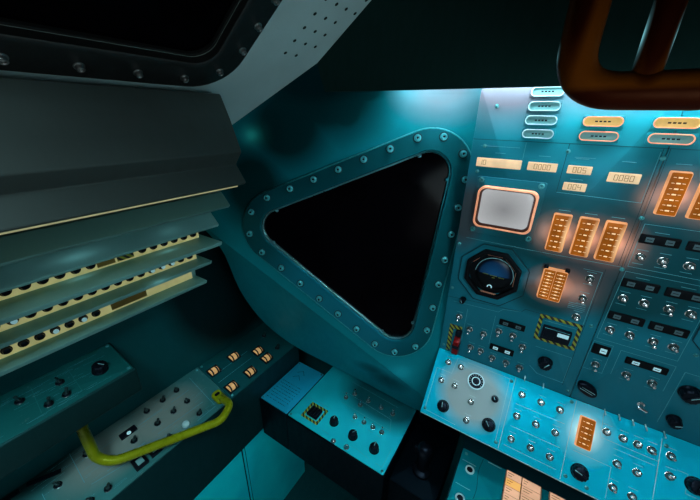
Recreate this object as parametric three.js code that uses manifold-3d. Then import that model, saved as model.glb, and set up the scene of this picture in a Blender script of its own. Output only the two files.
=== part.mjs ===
// Cockpit section of a crewed spacecraft: the front left crew station of a pressurised cabin.
// It has a deck, a side wall with breaker shelves and consoles, a bulkhead facet with a
// triangular window, a sloped ceiling with an overhead window, and the instrument panels.
// Millimetres, +Z up, +Y forward, +X to the right. The origin is under the middle of the whole
// section, ribs included, at the deck's underside. Inside, lengths are measured from the eye
// point of a crew member who stands on the deck.

import * as THREE from 'three';
import { mergeVertices } from 'three/addons/utils/BufferGeometryUtils.js';
import Module from 'manifold-3d';

const wasm = await Module();
wasm.setup();

// Driving dimensions
const EYE_HEIGHT = 1500;          // eye point above the deck's underside
const WALL = 25;                  // thickness of the pressure shell, with its lining
const RIB = 18;                   // height of the ribs on the outside of the shell
const SKIN = 4;                   // thickness of a panel's face plate
const GAP = 0.3;                  // running gap between two pieces that only touch
const LEFT = -785;                // inner face of the side wall
const RIGHT = 434;                // right end, where the section is cut from the cabin
const AFT = -100;                 // aft end, where the section is cut from the cabin
const FRONT = 800;                // inner face of the front wall
const CEILING = 240;              // underside of the flat overhead
const DECK_TOP = -1480;
const PANEL_Y = 700;              // plane of the main instrument panel
const PANEL_LEFT = -147;
const PANEL_TOP = 53;
const PANEL_BOTTOM = -565;
const PANEL_SPLIT = 147;          // seam between the left and the right panel sheets
const LOWER_TILT = 51;            // lower panel's slope above the horizontal, degrees
const LOWER_LENGTH = 168;

// Bulkhead facet round the window
const WINDOW_CENTRE = new THREE.Vector3(-358, 656.6, -301.2);
const WINDOW_YAW = 24.5;          // degrees that the facet is turned towards the side wall
const WINDOW_LEAN = 8.3;          // degrees that the facet leans back
const WINDOW_CORNERS = [52.9, 172.9, 292.9];
const CORNER_RADIUS = 230;        // from the window's centre to the centre of a corner's arc
const FOLD_DISTANCE = 244;        // from the window's centre to the fold under it
const FOLD_ANGLE = -35.9;         // direction of the fold in the facet, degrees
const LOWER_FACET_TURN = 32.5;    // degrees that the lower facet turns outwards at the fold
const HULL_TURN = 48;             // degrees that the hull behind it turns outwards
const HULL_ABOVE_FOLD = 22;       // the hull starts this far above the fold, on the facet's back

// Sloped ceiling
const SLOPE = 36;
const SLOPE_FOOT = new THREE.Vector3(-576, 0, 57);

const rad = THREE.MathUtils.degToRad;

const cabin = new THREE.Group();
cabin.position.set(-(LEFT - WALL - RIB + RIGHT) / 2, -(AFT + FRONT + WALL + RIB) / 2, EYE_HEIGHT);

const paint = (color, roughness = 0.55, metalness = 0.1) =>
  new THREE.MeshStandardMaterial({ color, roughness, metalness });

const TEAL = 0x3f9aa3;
const PALE_TEAL = 0x7fb4c0;
const SLATE = 0x4b5558;
const WARM_GREY = 0x8f9694;
const BLACK = 0x15171a;
const AMBER = 0xf0762a;
const CREAM = 0xd8cc92;
const ORANGE_BROWN = 0xa6561e;
const YELLOW_GREEN = 0xb9bd16;

// Solids: manifolds and three.js geometries

/** A closed three.js geometry as a manifold solid, placed by a matrix. */
function solid(geometry, matrix) {
  let bare = geometry.clone();
  bare.deleteAttribute('normal');
  bare.deleteAttribute('uv');
  if (matrix) bare.applyMatrix4(matrix);
  bare = mergeVertices(bare, 1e-4);
  return new wasm.Manifold(new wasm.Mesh({
    numProp: 3,
    vertProperties: new Float32Array(bare.attributes.position.array),
    triVerts: new Uint32Array(bare.index.array),
  }));
}

/** A manifold solid as a three.js geometry with flat shading. */
function geometryOf(manifold) {
  const mesh = manifold.getMesh();
  const indexed = new THREE.BufferGeometry();
  indexed.setAttribute('position', new THREE.BufferAttribute(mesh.vertProperties, 3));
  indexed.setIndex(new THREE.BufferAttribute(mesh.triVerts, 1));
  const flat = indexed.toNonIndexed();
  flat.computeVertexNormals();
  return flat;
}

const union = (solids) => solids.reduce((a, b) => a.add(b));

/** A box between two corners. */
function box(x0, x1, y0, y1, z0, z1) {
  const geometry = new THREE.BoxGeometry(x1 - x0, y1 - y0, z1 - z0);
  geometry.translate((x0 + x1) / 2, (y0 + y1) / 2, (z0 + z1) / 2);
  return geometry;
}

/** A closed outline from a list of [x, y] corners. */
function outline(points) {
  return new THREE.Shape(points.map(([x, y]) => new THREE.Vector2(x, y)));
}

/** A prism with its section in the X-Z plane, from y0 to y1. */
function prismAlongY(points, y0, y1) {
  const geometry = new THREE.ExtrudeGeometry(outline(points), { depth: y1 - y0, bevelEnabled: false });
  geometry.rotateX(Math.PI / 2);
  geometry.translate(0, y1, 0);
  return geometry;
}

/** A prism with its section in the Y-Z plane, from x0 to x1. */
function prismAlongX(points, x0, x1) {
  const geometry = new THREE.ExtrudeGeometry(outline(points), { depth: x1 - x0, bevelEnabled: false });
  geometry.applyMatrix4(new THREE.Matrix4().makeBasis(
    new THREE.Vector3(0, 1, 0), new THREE.Vector3(0, 0, 1), new THREE.Vector3(1, 0, 0)));
  geometry.translate(x0, 0, 0);
  return geometry;
}

/** A shape extruded along Z, from z0 to z1. */
function slabOf(shape, z0, z1, curveSegments = 8) {
  const geometry = new THREE.ExtrudeGeometry(shape, { depth: z1 - z0, bevelEnabled: false, curveSegments });
  geometry.translate(0, 0, z0);
  return geometry;
}

/** A round boss that stands on z = z0 of a panel, with n sides. */
function boss(x, y, z0, height, rTop, rBottom = rTop, n = 12) {
  const geometry = new THREE.CylinderGeometry(rTop, rBottom, height, n);
  geometry.rotateX(Math.PI / 2);
  geometry.translate(x, y, z0 + height / 2);
  return geometry;
}

/** A rectangle with round corners, centred on (x, y). */
function roundedRectangle(x, y, width, height, radius) {
  const shape = new THREE.Shape();
  const [w, h] = [width / 2 - radius, height / 2 - radius];
  shape.absarc(x + w, y - h, radius, -Math.PI / 2, 0, false);
  shape.absarc(x + w, y + h, radius, 0, Math.PI / 2, false);
  shape.absarc(x - w, y + h, radius, Math.PI / 2, Math.PI, false);
  shape.absarc(x - w, y - h, radius, Math.PI, 1.5 * Math.PI, false);
  shape.closePath();
  return shape;
}

/** A regular polygon whose flats are `apothem` from its centre, with a flat on top. */
function regularPolygon(x, y, apothem, n) {
  const radius = apothem / Math.cos(Math.PI / n);
  return outline(Array.from({ length: n }, (_, i) => {
    const angle = (2 * Math.PI * (i + 0.5)) / n;
    return [x + radius * Math.cos(angle), y + radius * Math.sin(angle)];
  }));
}

/** A three-sided outline whose corners are arcs of the given radius. */
function windowOutline(radius, Kind = THREE.Shape) {
  const shape = new Kind();
  WINDOW_CORNERS.forEach((degrees) => {
    const a = rad(degrees);
    shape.absarc(CORNER_RADIUS * Math.cos(a), CORNER_RADIUS * Math.sin(a), radius,
      a - Math.PI / 3, a + Math.PI / 3, false);
  });
  shape.closePath();
  return shape;
}

/** A round bar along a path of points, with round bends. */
function bar(points, radius, bend, sides = 10) {
  const path = new THREE.CurvePath();
  const at = points.map((p) => new THREE.Vector3(...p));
  let from = at[0];
  let pieces = 0;
  for (let i = 1; i < at.length - 1; i += 1) {
    const before = at[i].clone().add(at[i - 1].clone().sub(at[i]).setLength(bend));
    const after = at[i].clone().add(at[i + 1].clone().sub(at[i]).setLength(bend));
    path.add(new THREE.LineCurve3(from, before));
    path.add(new THREE.QuadraticBezierCurve3(before, at[i], after));
    from = after;
    pieces += 2;
  }
  path.add(new THREE.LineCurve3(from, at[at.length - 1]));
  const section = new THREE.Shape();
  section.absarc(0, 0, radius, 0, 2 * Math.PI, false);
  return new THREE.ExtrudeGeometry(section, {
    steps: Math.max(12, pieces * 6), curveSegments: sides / 2, extrudePath: path,
  });
}

/** Adds one named piece to a group. */
function piece(group, name, shape, material) {
  const geometry = shape instanceof THREE.BufferGeometry ? shape : geometryOf(shape);
  const mesh = new THREE.Mesh(geometry, material);
  mesh.name = name;
  group.add(mesh);
  return mesh;
}

/** A group turned about X, then about Y and Z, at a place in the cabin. */
function frameAt(place, { x = 0, y = 0, z = 0 }) {
  const group = new THREE.Group();
  group.position.copy(place);
  group.rotation.set(rad(x), rad(y), rad(z), 'ZYX');
  group.updateMatrix();
  cabin.add(group);
  return group;
}

// Planes of the shell. A plane is a unit normal that points into the cabin, and an offset.

const windowFrame = frameAt(WINDOW_CENTRE, { x: 90 - WINDOW_LEAN, z: WINDOW_YAW });
const ceilingFrame = frameAt(SLOPE_FOOT, { y: -SLOPE });

const axisOf = (group, x, y, z) => new THREE.Vector3(x, y, z).transformDirection(group.matrix);
const planeThrough = (normal, point) => ({ normal, offset: normal.dot(point) });

const facet = planeThrough(axisOf(windowFrame, 0, 0, 1), WINDOW_CENTRE);
const ceilingPlane = planeThrough(axisOf(ceilingFrame, 0, 0, -1), SLOPE_FOOT);

const foldLine = axisOf(windowFrame, Math.cos(rad(FOLD_ANGLE)), Math.sin(rad(FOLD_ANGLE)), 0);
const foldDown = axisOf(windowFrame, Math.sin(rad(FOLD_ANGLE)), -Math.cos(rad(FOLD_ANGLE)), 0);
const foldPoint = WINDOW_CENTRE.clone().addScaledVector(foldDown, FOLD_DISTANCE);
const lowerNormal = facet.normal.clone().applyAxisAngle(foldLine, rad(LOWER_FACET_TURN));
const lowerFacet = planeThrough(lowerNormal, foldPoint);
const hullFoot = foldPoint.clone().addScaledVector(foldDown, -HULL_ABOVE_FOLD)
  .addScaledVector(facet.normal, -WALL - GAP);
const cornerHull = planeThrough(facet.normal.clone().applyAxisAngle(foldLine, rad(HULL_TURN)), hullFoot);
const halfway = facet.normal.clone().add(lowerNormal);
const bisector = planeThrough(foldLine.clone().cross(halfway).normalize(), foldPoint);

/** The part of a solid on the inner side of a plane, moved inwards by `shift`. */
const inside = (body, plane, shift = 0) =>
  body.trimByPlane(plane.normal.toArray(), plane.offset + shift);

/** The part of a solid on the outer side of a plane, moved inwards by `shift`. */
const beyond = (body, plane, shift = 0) =>
  body.trimByPlane(plane.normal.clone().negate().toArray(), -plane.offset - shift);

/** A slab under a plane's outer side, cut out of a large block. */
const slabBehind = (block, plane, thickness) =>
  inside(beyond(block, plane), plane, -thickness);

const outer = {
  x0: LEFT - WALL, x1: RIGHT, y0: AFT, y1: FRONT + WALL, z0: DECK_TOP, z1: CEILING + WALL,
};
const wholeCabin = solid(box(outer.x0, outer.x1, outer.y0, outer.y1, outer.z0, outer.z1));
const corner = { x1: PANEL_LEFT - GAP, y1: outer.y1 + RIB };
const cornerBlock = solid(box(outer.x0, corner.x1, outer.y0, corner.y1, outer.z0, outer.z1));
const ribbedCorner = solid(box(outer.x0 - RIB - 1, corner.x1, outer.y0, corner.y1 + 1, outer.z0, outer.z1));
const outsideCorner = beyond(beyond(ribbedCorner, facet, GAP), cornerHull, GAP);

// Shell

/** Deck plate under the whole section. */
function buildDeck() {
  piece(cabin, 'deck', box(outer.x0, outer.x1, outer.y0, outer.y1, -EYE_HEIGHT, DECK_TOP - GAP), paint(TEAL));
}

/** Side wall, cut at the ceiling and at the window facet. */
function buildSideWall() {
  const ribs = [AFT, 130, 360, 590].map((y) =>
    solid(box(outer.x0 - RIB, outer.x0 + 1, y, y + 30, DECK_TOP, CEILING)));
  const sheet = solid(box(outer.x0, LEFT, AFT, outer.y1, DECK_TOP, CEILING));
  const trimmed = inside(union([sheet, ...ribs]), ceilingPlane, GAP);
  piece(cabin, 'side_wall', trimmed.subtract(outsideCorner), paint(TEAL));
}

/** Front wall behind the panels and under the corner hull, with a web that reaches the window facet. */
function buildFrontWall() {
  const ribs = [-600, -330, -130, 120, RIGHT - 30].map((x) =>
    solid(box(x, x + 30, outer.y1 - 1, outer.y1 + RIB, DECK_TOP, CEILING - GAP)));
  const sheet = solid(box(LEFT + GAP, RIGHT, FRONT, outer.y1, DECK_TOP, CEILING - GAP));
  const wall = union([sheet, ...ribs]).subtract(outsideCorner);
  const WEB = 10;
  const reach = solid(box(corner.x1 - WEB, corner.x1, AFT, outer.y1, DECK_TOP, CEILING - GAP));
  const root = solid(box(corner.x1 - WEB, corner.x1 + 3, FRONT + 2, outer.y1, DECK_TOP, CEILING - GAP));
  const web = beyond(beyond(union([reach, root]), facet, -WALL - GAP), cornerHull, -WALL - GAP);
  piece(cabin, 'front_wall', union([wall, web]), paint(TEAL));
}

/** Bulkhead facet with the window's opening. */
function buildWindowFacet() {
  let slab = slabBehind(cornerBlock, facet, WALL);
  slab = inside(slab, ceilingPlane, -WALL);
  slab = beyond(slab, bisector, -GAP / 2);
  const wall = solid(box(outer.x0 - 1, LEFT + GAP, AFT, outer.y1, DECK_TOP, CEILING));
  slab = slab.subtract(inside(wall, cornerHull));
  const hole = solid(slabOf(windowOutline(49), -WALL - 10, 10), windowFrame.matrix);
  piece(cabin, 'window_facet', slab.subtract(hole), paint(TEAL));
}

/** Lower facet: it turns outwards at the fold, and its curved lower edge is free. */
function buildLowerFacet() {
  const THICKNESS = 8;
  const along = foldLine;
  const down = along.clone().cross(lowerNormal).normalize();
  if (down.dot(foldDown) < 0) down.negate();
  const edge = new THREE.SplineCurve([
    [-398, 6], [-302, 44], [-208, 182], [-96, 266], [29, 277], [157, 225], [305, 155], [453, 89], [470, 20],
  ].map(([a, b]) => new THREE.Vector2(a, b)));
  const shape = new THREE.Shape([
    new THREE.Vector2(470, -30), new THREE.Vector2(-398, -30), ...edge.getPoints(28)]);
  const basis = new THREE.Matrix4().makeBasis(along, down, along.clone().cross(down))
    .setPosition(foldPoint);
  const inward = along.clone().cross(down).dot(lowerNormal) > 0;
  const sheet = solid(inward ? slabOf(shape, -THICKNESS, 0) : slabOf(shape, 0, THICKNESS), basis);
  const rightwards = new THREE.Vector3(1, 0, 0);
  const cut = inside(inside(sheet, bisector, GAP / 2), { normal: rightwards, offset: LEFT + GAP });
  piece(cabin, 'lower_facet', beyond(cut, { normal: rightwards, offset: PANEL_LEFT - GAP }), paint(TEAL));
}

/** Hull that closes the corner behind the lower facet. */
function buildCornerHull() {
  const slab = slabBehind(cornerBlock, cornerHull, WALL);
  const behindWindow = beyond(slab, facet, -WALL - GAP);
  piece(cabin, 'corner_hull', beyond(behindWindow, { normal: new THREE.Vector3(0, 1, 0), offset: outer.y1 }),
    paint(BLACK, 0.8, 0));
}

// Overhead window: lengths run up the slope and forward
const OVERHEAD = { low: -10, high: 288, aft: -60, fore: 450, band: 56, radius: 80 };

/** Sloped ceiling, cut at the facet, with the overhead window's opening. */
function buildCeiling() {
  let slab = slabBehind(wholeCabin, ceilingPlane, WALL);
  slab = inside(slab, facet, GAP);
  slab = beyond(slab, { normal: new THREE.Vector3(1, 0, 0), offset: ceilingEnd() - GAP });
  const hole = solid(slabOf(overheadOpening(0), -20, WALL + 20), ceilingFrame.matrix);
  piece(cabin, 'sloped_ceiling', slab.subtract(hole), paint(WARM_GREY));

  const flat = solid(box(ceilingEnd(), RIGHT, AFT, outer.y1, CEILING, outer.z1));
  piece(cabin, 'flat_overhead', flat.subtract(outsideCorner), paint(BLACK, 0.7, 0));
}

/** X at which the sloped ceiling reaches the flat overhead. */
function ceilingEnd() {
  return SLOPE_FOOT.x + (CEILING - SLOPE_FOOT.z) / Math.tan(rad(SLOPE));
}

function overheadOpening(grow) {
  const { low, high, aft, fore, band, radius } = OVERHEAD;
  const width = high - low - 2 * band + 2 * grow;
  const length = fore - aft - 2 * band + 2 * grow;
  return roundedRectangle((low + high) / 2, (aft + fore) / 2, width, length, radius - band + 12);
}

/** Black frame and dark pane of the overhead window. */
function buildOverheadWindow() {
  const { low, high, aft, fore, radius } = OVERHEAD;
  const rim = roundedRectangle((low + high) / 2, (aft + fore) / 2, high - low, fore - aft, radius);
  rim.holes.push(overheadOpening(0));
  piece(ceilingFrame, 'overhead_window_ring', slabOf(rim, -12 - GAP, -GAP), paint(BLACK, 0.45, 0.3));
  piece(ceilingFrame, 'overhead_window_pane', slabOf(overheadOpening(-GAP), 8, 16), paint(0x06080c, 0.1, 0));
}

/** Dark valance that hangs in front of the main panel's top, and the lamp tube behind it. */
function buildSoffit() {
  const FACE = 655;
  const BACK = FACE + 12;
  const LOW = 50;
  const sheet = solid(box(-600, RIGHT, FACE, BACK, LOW, CEILING - GAP));
  const webs = [-120, 150, 404].map((x) =>
    solid(box(x, x + 12, BACK - 1, FRONT - GAP, PANEL_TOP + 60, CEILING - GAP)));
  const trimmed = inside(inside(union([sheet, ...webs]), facet, GAP), ceilingPlane, GAP);
  piece(cabin, 'soffit', trimmed, paint(BLACK, 0.7, 0));

  const [LAMP_Y, LAMP_Z, LAMP_LENGTH] = [682, 78, 700];
  const tube = new THREE.CylinderGeometry(9, 9, LAMP_LENGTH, 12);
  tube.rotateZ(Math.PI / 2);
  tube.translate(50, LAMP_Y, LAMP_Z);
  const clips = [-260, 350].map((x) =>
    solid(box(x, x + 10, BACK + GAP, LAMP_Y, LAMP_Z - 4, LAMP_Z + 4)));
  piece(cabin, 'cove_lamp', union([solid(tube), ...clips]), paint(0xcfefff, 0.3, 0));
}

// Triangular window

/** Bolted ring and dark pane. */
function buildWindow() {
  const ring = windowOutline(100);
  ring.holes.push(windowOutline(49, THREE.Path));
  piece(windowFrame, 'window_ring', slabOf(ring, GAP, 9 + GAP, 10), paint(TEAL, 0.45, 0.3));
  piece(windowFrame, 'window_pane', slabOf(windowOutline(49 - GAP), -18, -10, 10), paint(0x05060a, 0.1, 0));
}

// Panels of instruments. In a panel's frame x runs right, y up and z out towards the crew.

const mainFrame = frameAt(new THREE.Vector3(0, PANEL_Y, 0), { x: 90 });
const lowerFrame = frameAt(new THREE.Vector3(0, PANEL_Y, PANEL_BOTTOM), { x: LOWER_TILT });

const toggle = (x, y) => solid(boss(x, y, -1, 16, 2.5, 5.5, 6));
const knob = (x, y, radius, height = 17) => solid(boss(x, y, -1, height, radius * 0.85, radius, 12));
const stud = (x, y, w, h, depth) => solid(box(x - w / 2, x + w / 2, y - h / 2, y + h / 2, -1, depth));

/** A face plate with everything that is fixed on it. */
function facePlate(x0, x1, y0, y1, parts) {
  return union([solid(box(x0, x1, y0, y1, -SKIN, 0)), ...parts]);
}

// name of the row: its y, and the x of each toggle
const LEFT_TOGGLES = [
  { y: -452, x: [-112] },
  { y: -478, x: [-83, -50, 34] },
  { y: -457, x: [-20, 10] },
  { y: -528, x: [-72, -48] },
  { y: -536, x: [-20, 11, 40] },
  { y: -279, x: [109] },
  { y: -323, x: [109] },
  { y: -367, x: [109] },
];
const RIGHT_TOGGLES = [
  { y: -219, x: [166, 196, 229, 260] },
  { y: -303, x: [166, 196, 230, 258] },
  { y: -374, x: [166, 196, 230, 258] },
  { y: -462, x: [166, 216, 255] },
  { y: -478, x: [360, 394] },
  { y: -534, x: [360, 394] },
];
// flag windows: centre, width, height
const LEFT_FLAGS = [
  { x: 3, y: -430, w: 53, h: 14 },
  { x: -5, y: -504, w: 52, h: 15 },
];
const RIGHT_FLAGS = [
  { x: 181, y: -185, w: 52, h: 16 },
  { x: 241, y: -185, w: 52, h: 16 },
  { x: 181, y: -271, w: 52, h: 16 },
  { x: 241, y: -271, w: 52, h: 16 },
  { x: 181, y: -342, w: 53, h: 16 },
  { x: 241, y: -342, w: 53, h: 16 },
  { x: 165, y: -424, w: 28, h: 22 },
  { x: 236, y: -428, w: 62, h: 14 },
];
const MAIN_KNOBS = {
  left: [{ x: -110, y: -401, r: 7 }, { x: 84, y: -497, r: 14.5 }],
  right: [{ x: 168, y: -525, r: 15 }, { x: 255, y: -518, r: 8 }, { x: 306, y: -457, r: 16 },
    { x: 306, y: -526, r: 11.5 }],
};

const togglesOf = (rows) => rows.flatMap((row) => row.x.map((x) => toggle(x, row.y)));
const flagsOf = (rows) => rows.map(({ x, y, w, h }) => stud(x, y, w, h, 4));
const knobsOf = (rows) => rows.map(({ x, y, r }) => knob(x, y, r));

/** Housing and the two face plates of the main panel. */
function buildMainPanel() {
  piece(cabin, 'main_housing',
    box(PANEL_LEFT, RIGHT, PANEL_Y + SKIN + GAP, FRONT - GAP, PANEL_BOTTOM, PANEL_TOP), paint(SLATE));
  const onLeft = [...togglesOf(LEFT_TOGGLES), ...flagsOf(LEFT_FLAGS), ...knobsOf(MAIN_KNOBS.left)];
  piece(mainFrame, 'main_panel_left',
    facePlate(PANEL_LEFT, PANEL_SPLIT - GAP, PANEL_BOTTOM, PANEL_TOP, onLeft), paint(PALE_TEAL));
  const onRight = [...togglesOf(RIGHT_TOGGLES), ...flagsOf(RIGHT_FLAGS), ...knobsOf(MAIN_KNOBS.right)];
  piece(mainFrame, 'main_panel_right',
    facePlate(PANEL_SPLIT, RIGHT, PANEL_BOTTOM, PANEL_TOP, onRight), paint(PALE_TEAL));
}

/** A display: square base plate, raised rounded bezel and a slightly sunk screen. */
function buildDisplay(side, x, y) {
  const base = solid(box(x - 62.5, x + 62.5, y - 60, y + 60, GAP, 3));
  const bezelShape = roundedRectangle(x, y, 110, 86, 14);
  bezelShape.holes.push(roundedRectangle(x, y + 1, 94, 74, 11));
  const bezel = base.add(solid(slabOf(bezelShape, 2, 18, 5)));
  piece(mainFrame, `display_bezel_${side}`, bezel, paint(0xb0644a, 0.4, 0.4));
  const screen = slabOf(roundedRectangle(x, y + 1, 94 - 2 * GAP, 74 - 2 * GAP, 10), 3 + GAP, 12, 4);
  piece(mainFrame, `display_screen_${side}`, screen, paint(0xb7bcc2, 0.25, 0));
}

/** An attitude instrument: eight-sided flange, eight-sided raised rim and a ball. */
function buildAttitude(side, x, y) {
  const flange = solid(slabOf(regularPolygon(x, y, 69, 8), GAP, 5));
  const rimShape = regularPolygon(x, y + 4, 54, 8);
  const rim = solid(slabOf(rimShape, 4, 14));
  const bore = solid(boss(x, y + 4, 5, 20, 44, 44, 24));
  piece(mainFrame, `attitude_bezel_${side}`, union([flange, rim]).subtract(bore), paint(BLACK, 0.4, 0.2));
  const ball = new THREE.SphereGeometry(44 - 2 * GAP, 24, 12);
  ball.rotateX(Math.PI / 2);
  ball.scale(1, 1, 0.3);
  ball.translate(x, y + 4, 5 + GAP);
  const upper = solid(ball).trimByPlane([0, 0, 1], 5 + GAP);
  piece(mainFrame, `attitude_ball_${side}`, upper, paint(0x3a86b8, 0.3, 0));
}

/** Rows of oval caution windows on one thin strip. */
function buildCautionLights() {
  const columns = [{ x: -36, y: [45, 22, -1, -24], w: 48 }, { x: 54, y: [-1, -24], w: 52 },
    { x: 145, y: [-1, -24], w: 52 }, { x: 236, y: [-1, -24], w: 52 }, { x: 327, y: [-1, -24], w: 52 }];
  const HEIGHT = 13;
  const ovals = columns.flatMap(({ x, y, w }) =>
    y.map((row) => solid(slabOf(roundedRectangle(x, row, w, HEIGHT, HEIGHT / 2 - 0.2), 0.8, 4.5, 3))));
  const strips = [box(-62, 355, -32, 7, GAP, 1), box(-62, -10, 6, 52.5, GAP, 1)].map((g) => solid(g));
  piece(mainFrame, 'caution_lights', union([...strips, ...ovals]), paint(0xcfe3ea, 0.4, 0));
}

/** Digital readout windows on thin strips. */
function buildReadouts() {
  const windows = [
    { x: -92, y: -81, w: 82, h: 17 },
    { x: -16, y: -81, w: 48, h: 15 },
    { x: 42, y: -81, w: 36, h: 14 },
    { x: 106, y: -88, w: 43, h: 16 },
    { x: 42, y: -111, w: 35, h: 14 },
  ];
  const strips = [box(-135, 130, -97, -71, GAP, 1), box(22, 62, -120, -96, GAP, 1)].map((g) => solid(g));
  const boxes = windows.map(({ x, y, w, h }) =>
    solid(box(x - w / 2, x + w / 2, y - h / 2, y + h / 2, 0.8, 3)));
  piece(mainFrame, 'readout_windows', union([...strips, ...boxes]), paint(0xf0c98a, 0.4, 0));
}

/** Banks of back-lit legend lamps. */
function buildLampBanks() {
  const bank = (x0, x1, y0, y1, depth = 9) => solid(box(x0, x1, y0, y1, GAP, depth));
  const strip = (x0, x1, y0, y1) => solid(box(x0, x1, y0, y1, GAP, 1));
  piece(mainFrame, 'lamp_banks_centre', union([strip(20, 135, -230, -170),
    bank(23, 53, -237, -162), bank(64, 94, -237, -162), bank(103, 133, -237, -162)]), paint(AMBER, 0.4, 0));
  piece(mainFrame, 'lamp_banks_right', union([strip(162, 222, -130, -80),
    bank(159, 186, -141, -70), bank(198, 225, -141, -70)]), paint(AMBER, 0.4, 0));
  piece(mainFrame, 'lamp_bank_double', bank(32, 74, -342, -273, 11), paint(AMBER, 0.4, 0));
  piece(lowerFrame, 'lamp_bank_lower', bank(171, 199, -90, -27), paint(AMBER, 0.4, 0));
}

/** Black module in a striped frame, and the guarded switch at the panel's left edge. */
function buildGuards() {
  const frame = solid(box(49, 125, -446, -382, GAP, 1.5));
  const module = solid(box(60, 112, -436, -404, 1, 8));
  piece(mainFrame, 'hazard_module', frame.add(module), paint(BLACK, 0.5, 0));
  const base = solid(box(-130, -97, -560, -480, GAP, 3));
  const hinge = solid(box(-112, -98, -503, -488, 2, 14));
  const cover = solid(prismAlongX([[-553, 2], [-553, 22], [-516, 24], [-503, 12], [-503, 2]], -112, -98));
  piece(mainFrame, 'guarded_switch', union([base, hinge, cover]), paint(0xb5261e, 0.4, 0));
}

/** Lower panel: it slopes down and aft from the main panel's foot. */
function buildLowerPanel() {
  const tilt = rad(LOWER_TILT);
  const foot = [PANEL_Y - LOWER_LENGTH * Math.cos(tilt), PANEL_BOTTOM - LOWER_LENGTH * Math.sin(tilt)];
  const under = (SKIN + GAP);
  const [dy, dz] = [under * Math.sin(tilt), -under * Math.cos(tilt)];
  const section = [
    [PANEL_Y + dy + 1, PANEL_BOTTOM - GAP], [PANEL_Y + dy, PANEL_BOTTOM + dz],
    [foot[0] + dy, foot[1] + dz], [foot[0] + 12, foot[1] - 18], [foot[0] + 70, foot[1] - 48],
    [FRONT - GAP, foot[1] - 48], [FRONT - GAP, PANEL_BOTTOM - GAP],
  ];
  piece(cabin, 'lower_housing', prismAlongX(section, PANEL_LEFT, RIGHT), paint(SLATE));

  const grid = [-34, -83, -134].map((y) => ({ y, x: [59, 98, 135] }));
  const rows = [
    ...grid,
    { y: -29, x: [-116, -83] }, { y: -77, x: [-119, -86] }, { y: -96, x: [-40] }, { y: -141, x: [-39] },
    { y: -41, x: [220, 247, 270, 291] }, { y: -91, x: [245, 275] }, { y: -137, x: [245, 275] },
    { y: -37, x: [321, 390] }, { y: -72, x: [321, 390] }, { y: -137, x: [321, 390] },
  ];
  const knobs = [{ x: 8, y: -68, r: 8 }, { x: -98, y: -133, r: 15 }, { x: 9, y: -127, r: 15.5 },
    { x: 189, y: -136, r: 16 }, { x: 356, y: -70, r: 15 }];
  piece(lowerFrame, 'lower_panel',
    facePlate(PANEL_LEFT, RIGHT, -LOWER_LENGTH, -GAP, [...togglesOf(rows), ...knobsOf(knobs)]), paint(TEAL));
  const dial = solid(boss(-41, -45, GAP, 6, 18, 20, 20)).subtract(solid(boss(-41, -45, 4, 10, 15, 15, 20)));
  piece(lowerFrame, 'lower_dial', dial, paint(BLACK, 0.4, 0.2));
}

// Consoles

/** Centre console on its pedestal, with two back-lit legend cards and a round indicator. */
function buildCentreConsole() {
  const TOP = -790;
  const body = solid(box(-36, 264, 330, FRONT - GAP, DECK_TOP + GAP, TOP));
  const lamps = [[-5, 580], [-9, 504]].map(([x, y]) => solid(boss(x, y, TOP - 1, 5, 10, 11, 16)));
  piece(cabin, 'centre_console', union([body, ...lamps]), paint(TEAL));
  [70, 160].forEach((x, i) => {
    const card = box(x, x + 76, 470, 630, TOP + GAP, TOP + 6);
    piece(cabin, `legend_card_${i + 1}`, card, paint(0xf0b98a, 0.5, 0));
  });
}

/** Sill console under the window, carried on the front wall. */
function buildSillConsole() {
  const TOP = -840;
  const body = solid(box(-516, -185, 480, 740, TOP - 160, TOP))
    .add(solid(box(-631, -515, 480, 677, TOP - 160, TOP)));
  const arm = solid(box(-500, -200, 739, FRONT - GAP, TOP - 160, TOP - 128));
  const at = (make) => ([x, y, ...rest]) => make(x, y, ...rest).translate([0, 0, TOP]);
  const knobs = [[-378, 538, 14], [-308, 531, 14], [-239, 530, 14]].map(at(knob));
  const levers = [[-335, 587], [-304, 590], [-274, 589], [-245, 585], [-397, 633], [-344, 632], [-300, 640],
    [-255, 640]].map(at(toggle));
  const guard = stud(-446, 532, 60, 57, 6).translate([0, 0, TOP]);
  piece(cabin, 'sill_console', union([body, arm, ...knobs, ...levers, guard]), paint(TEAL));

  const shelf = solid(box(-184, -60, 520, FRONT - GAP, TOP - 160, TOP - 60));
  piece(cabin, 'controller_shelf', shelf, paint(SLATE));
  const grip = new THREE.LatheGeometry([
    [0, 0], [24, 0], [24, 8], [12, 14], [13, 40], [19, 70], [17, 92], [0, 100],
  ].map(([r, z]) => new THREE.Vector2(r, z)), 12);
  grip.rotateX(Math.PI / 2);
  grip.translate(-118, 590, TOP - 60 + GAP);
  piece(cabin, 'hand_controller', grip, paint(BLACK, 0.6, 0));
}

const SIDE_EDGE = new THREE.Vector3(-632, 0, -756.5);
const SIDE_TILT = 15;
const SIDE_FORE = 678;
const SIDE_SEAM = 388;
const sideFrame = frameAt(SIDE_EDGE, { y: SIDE_TILT });

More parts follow.
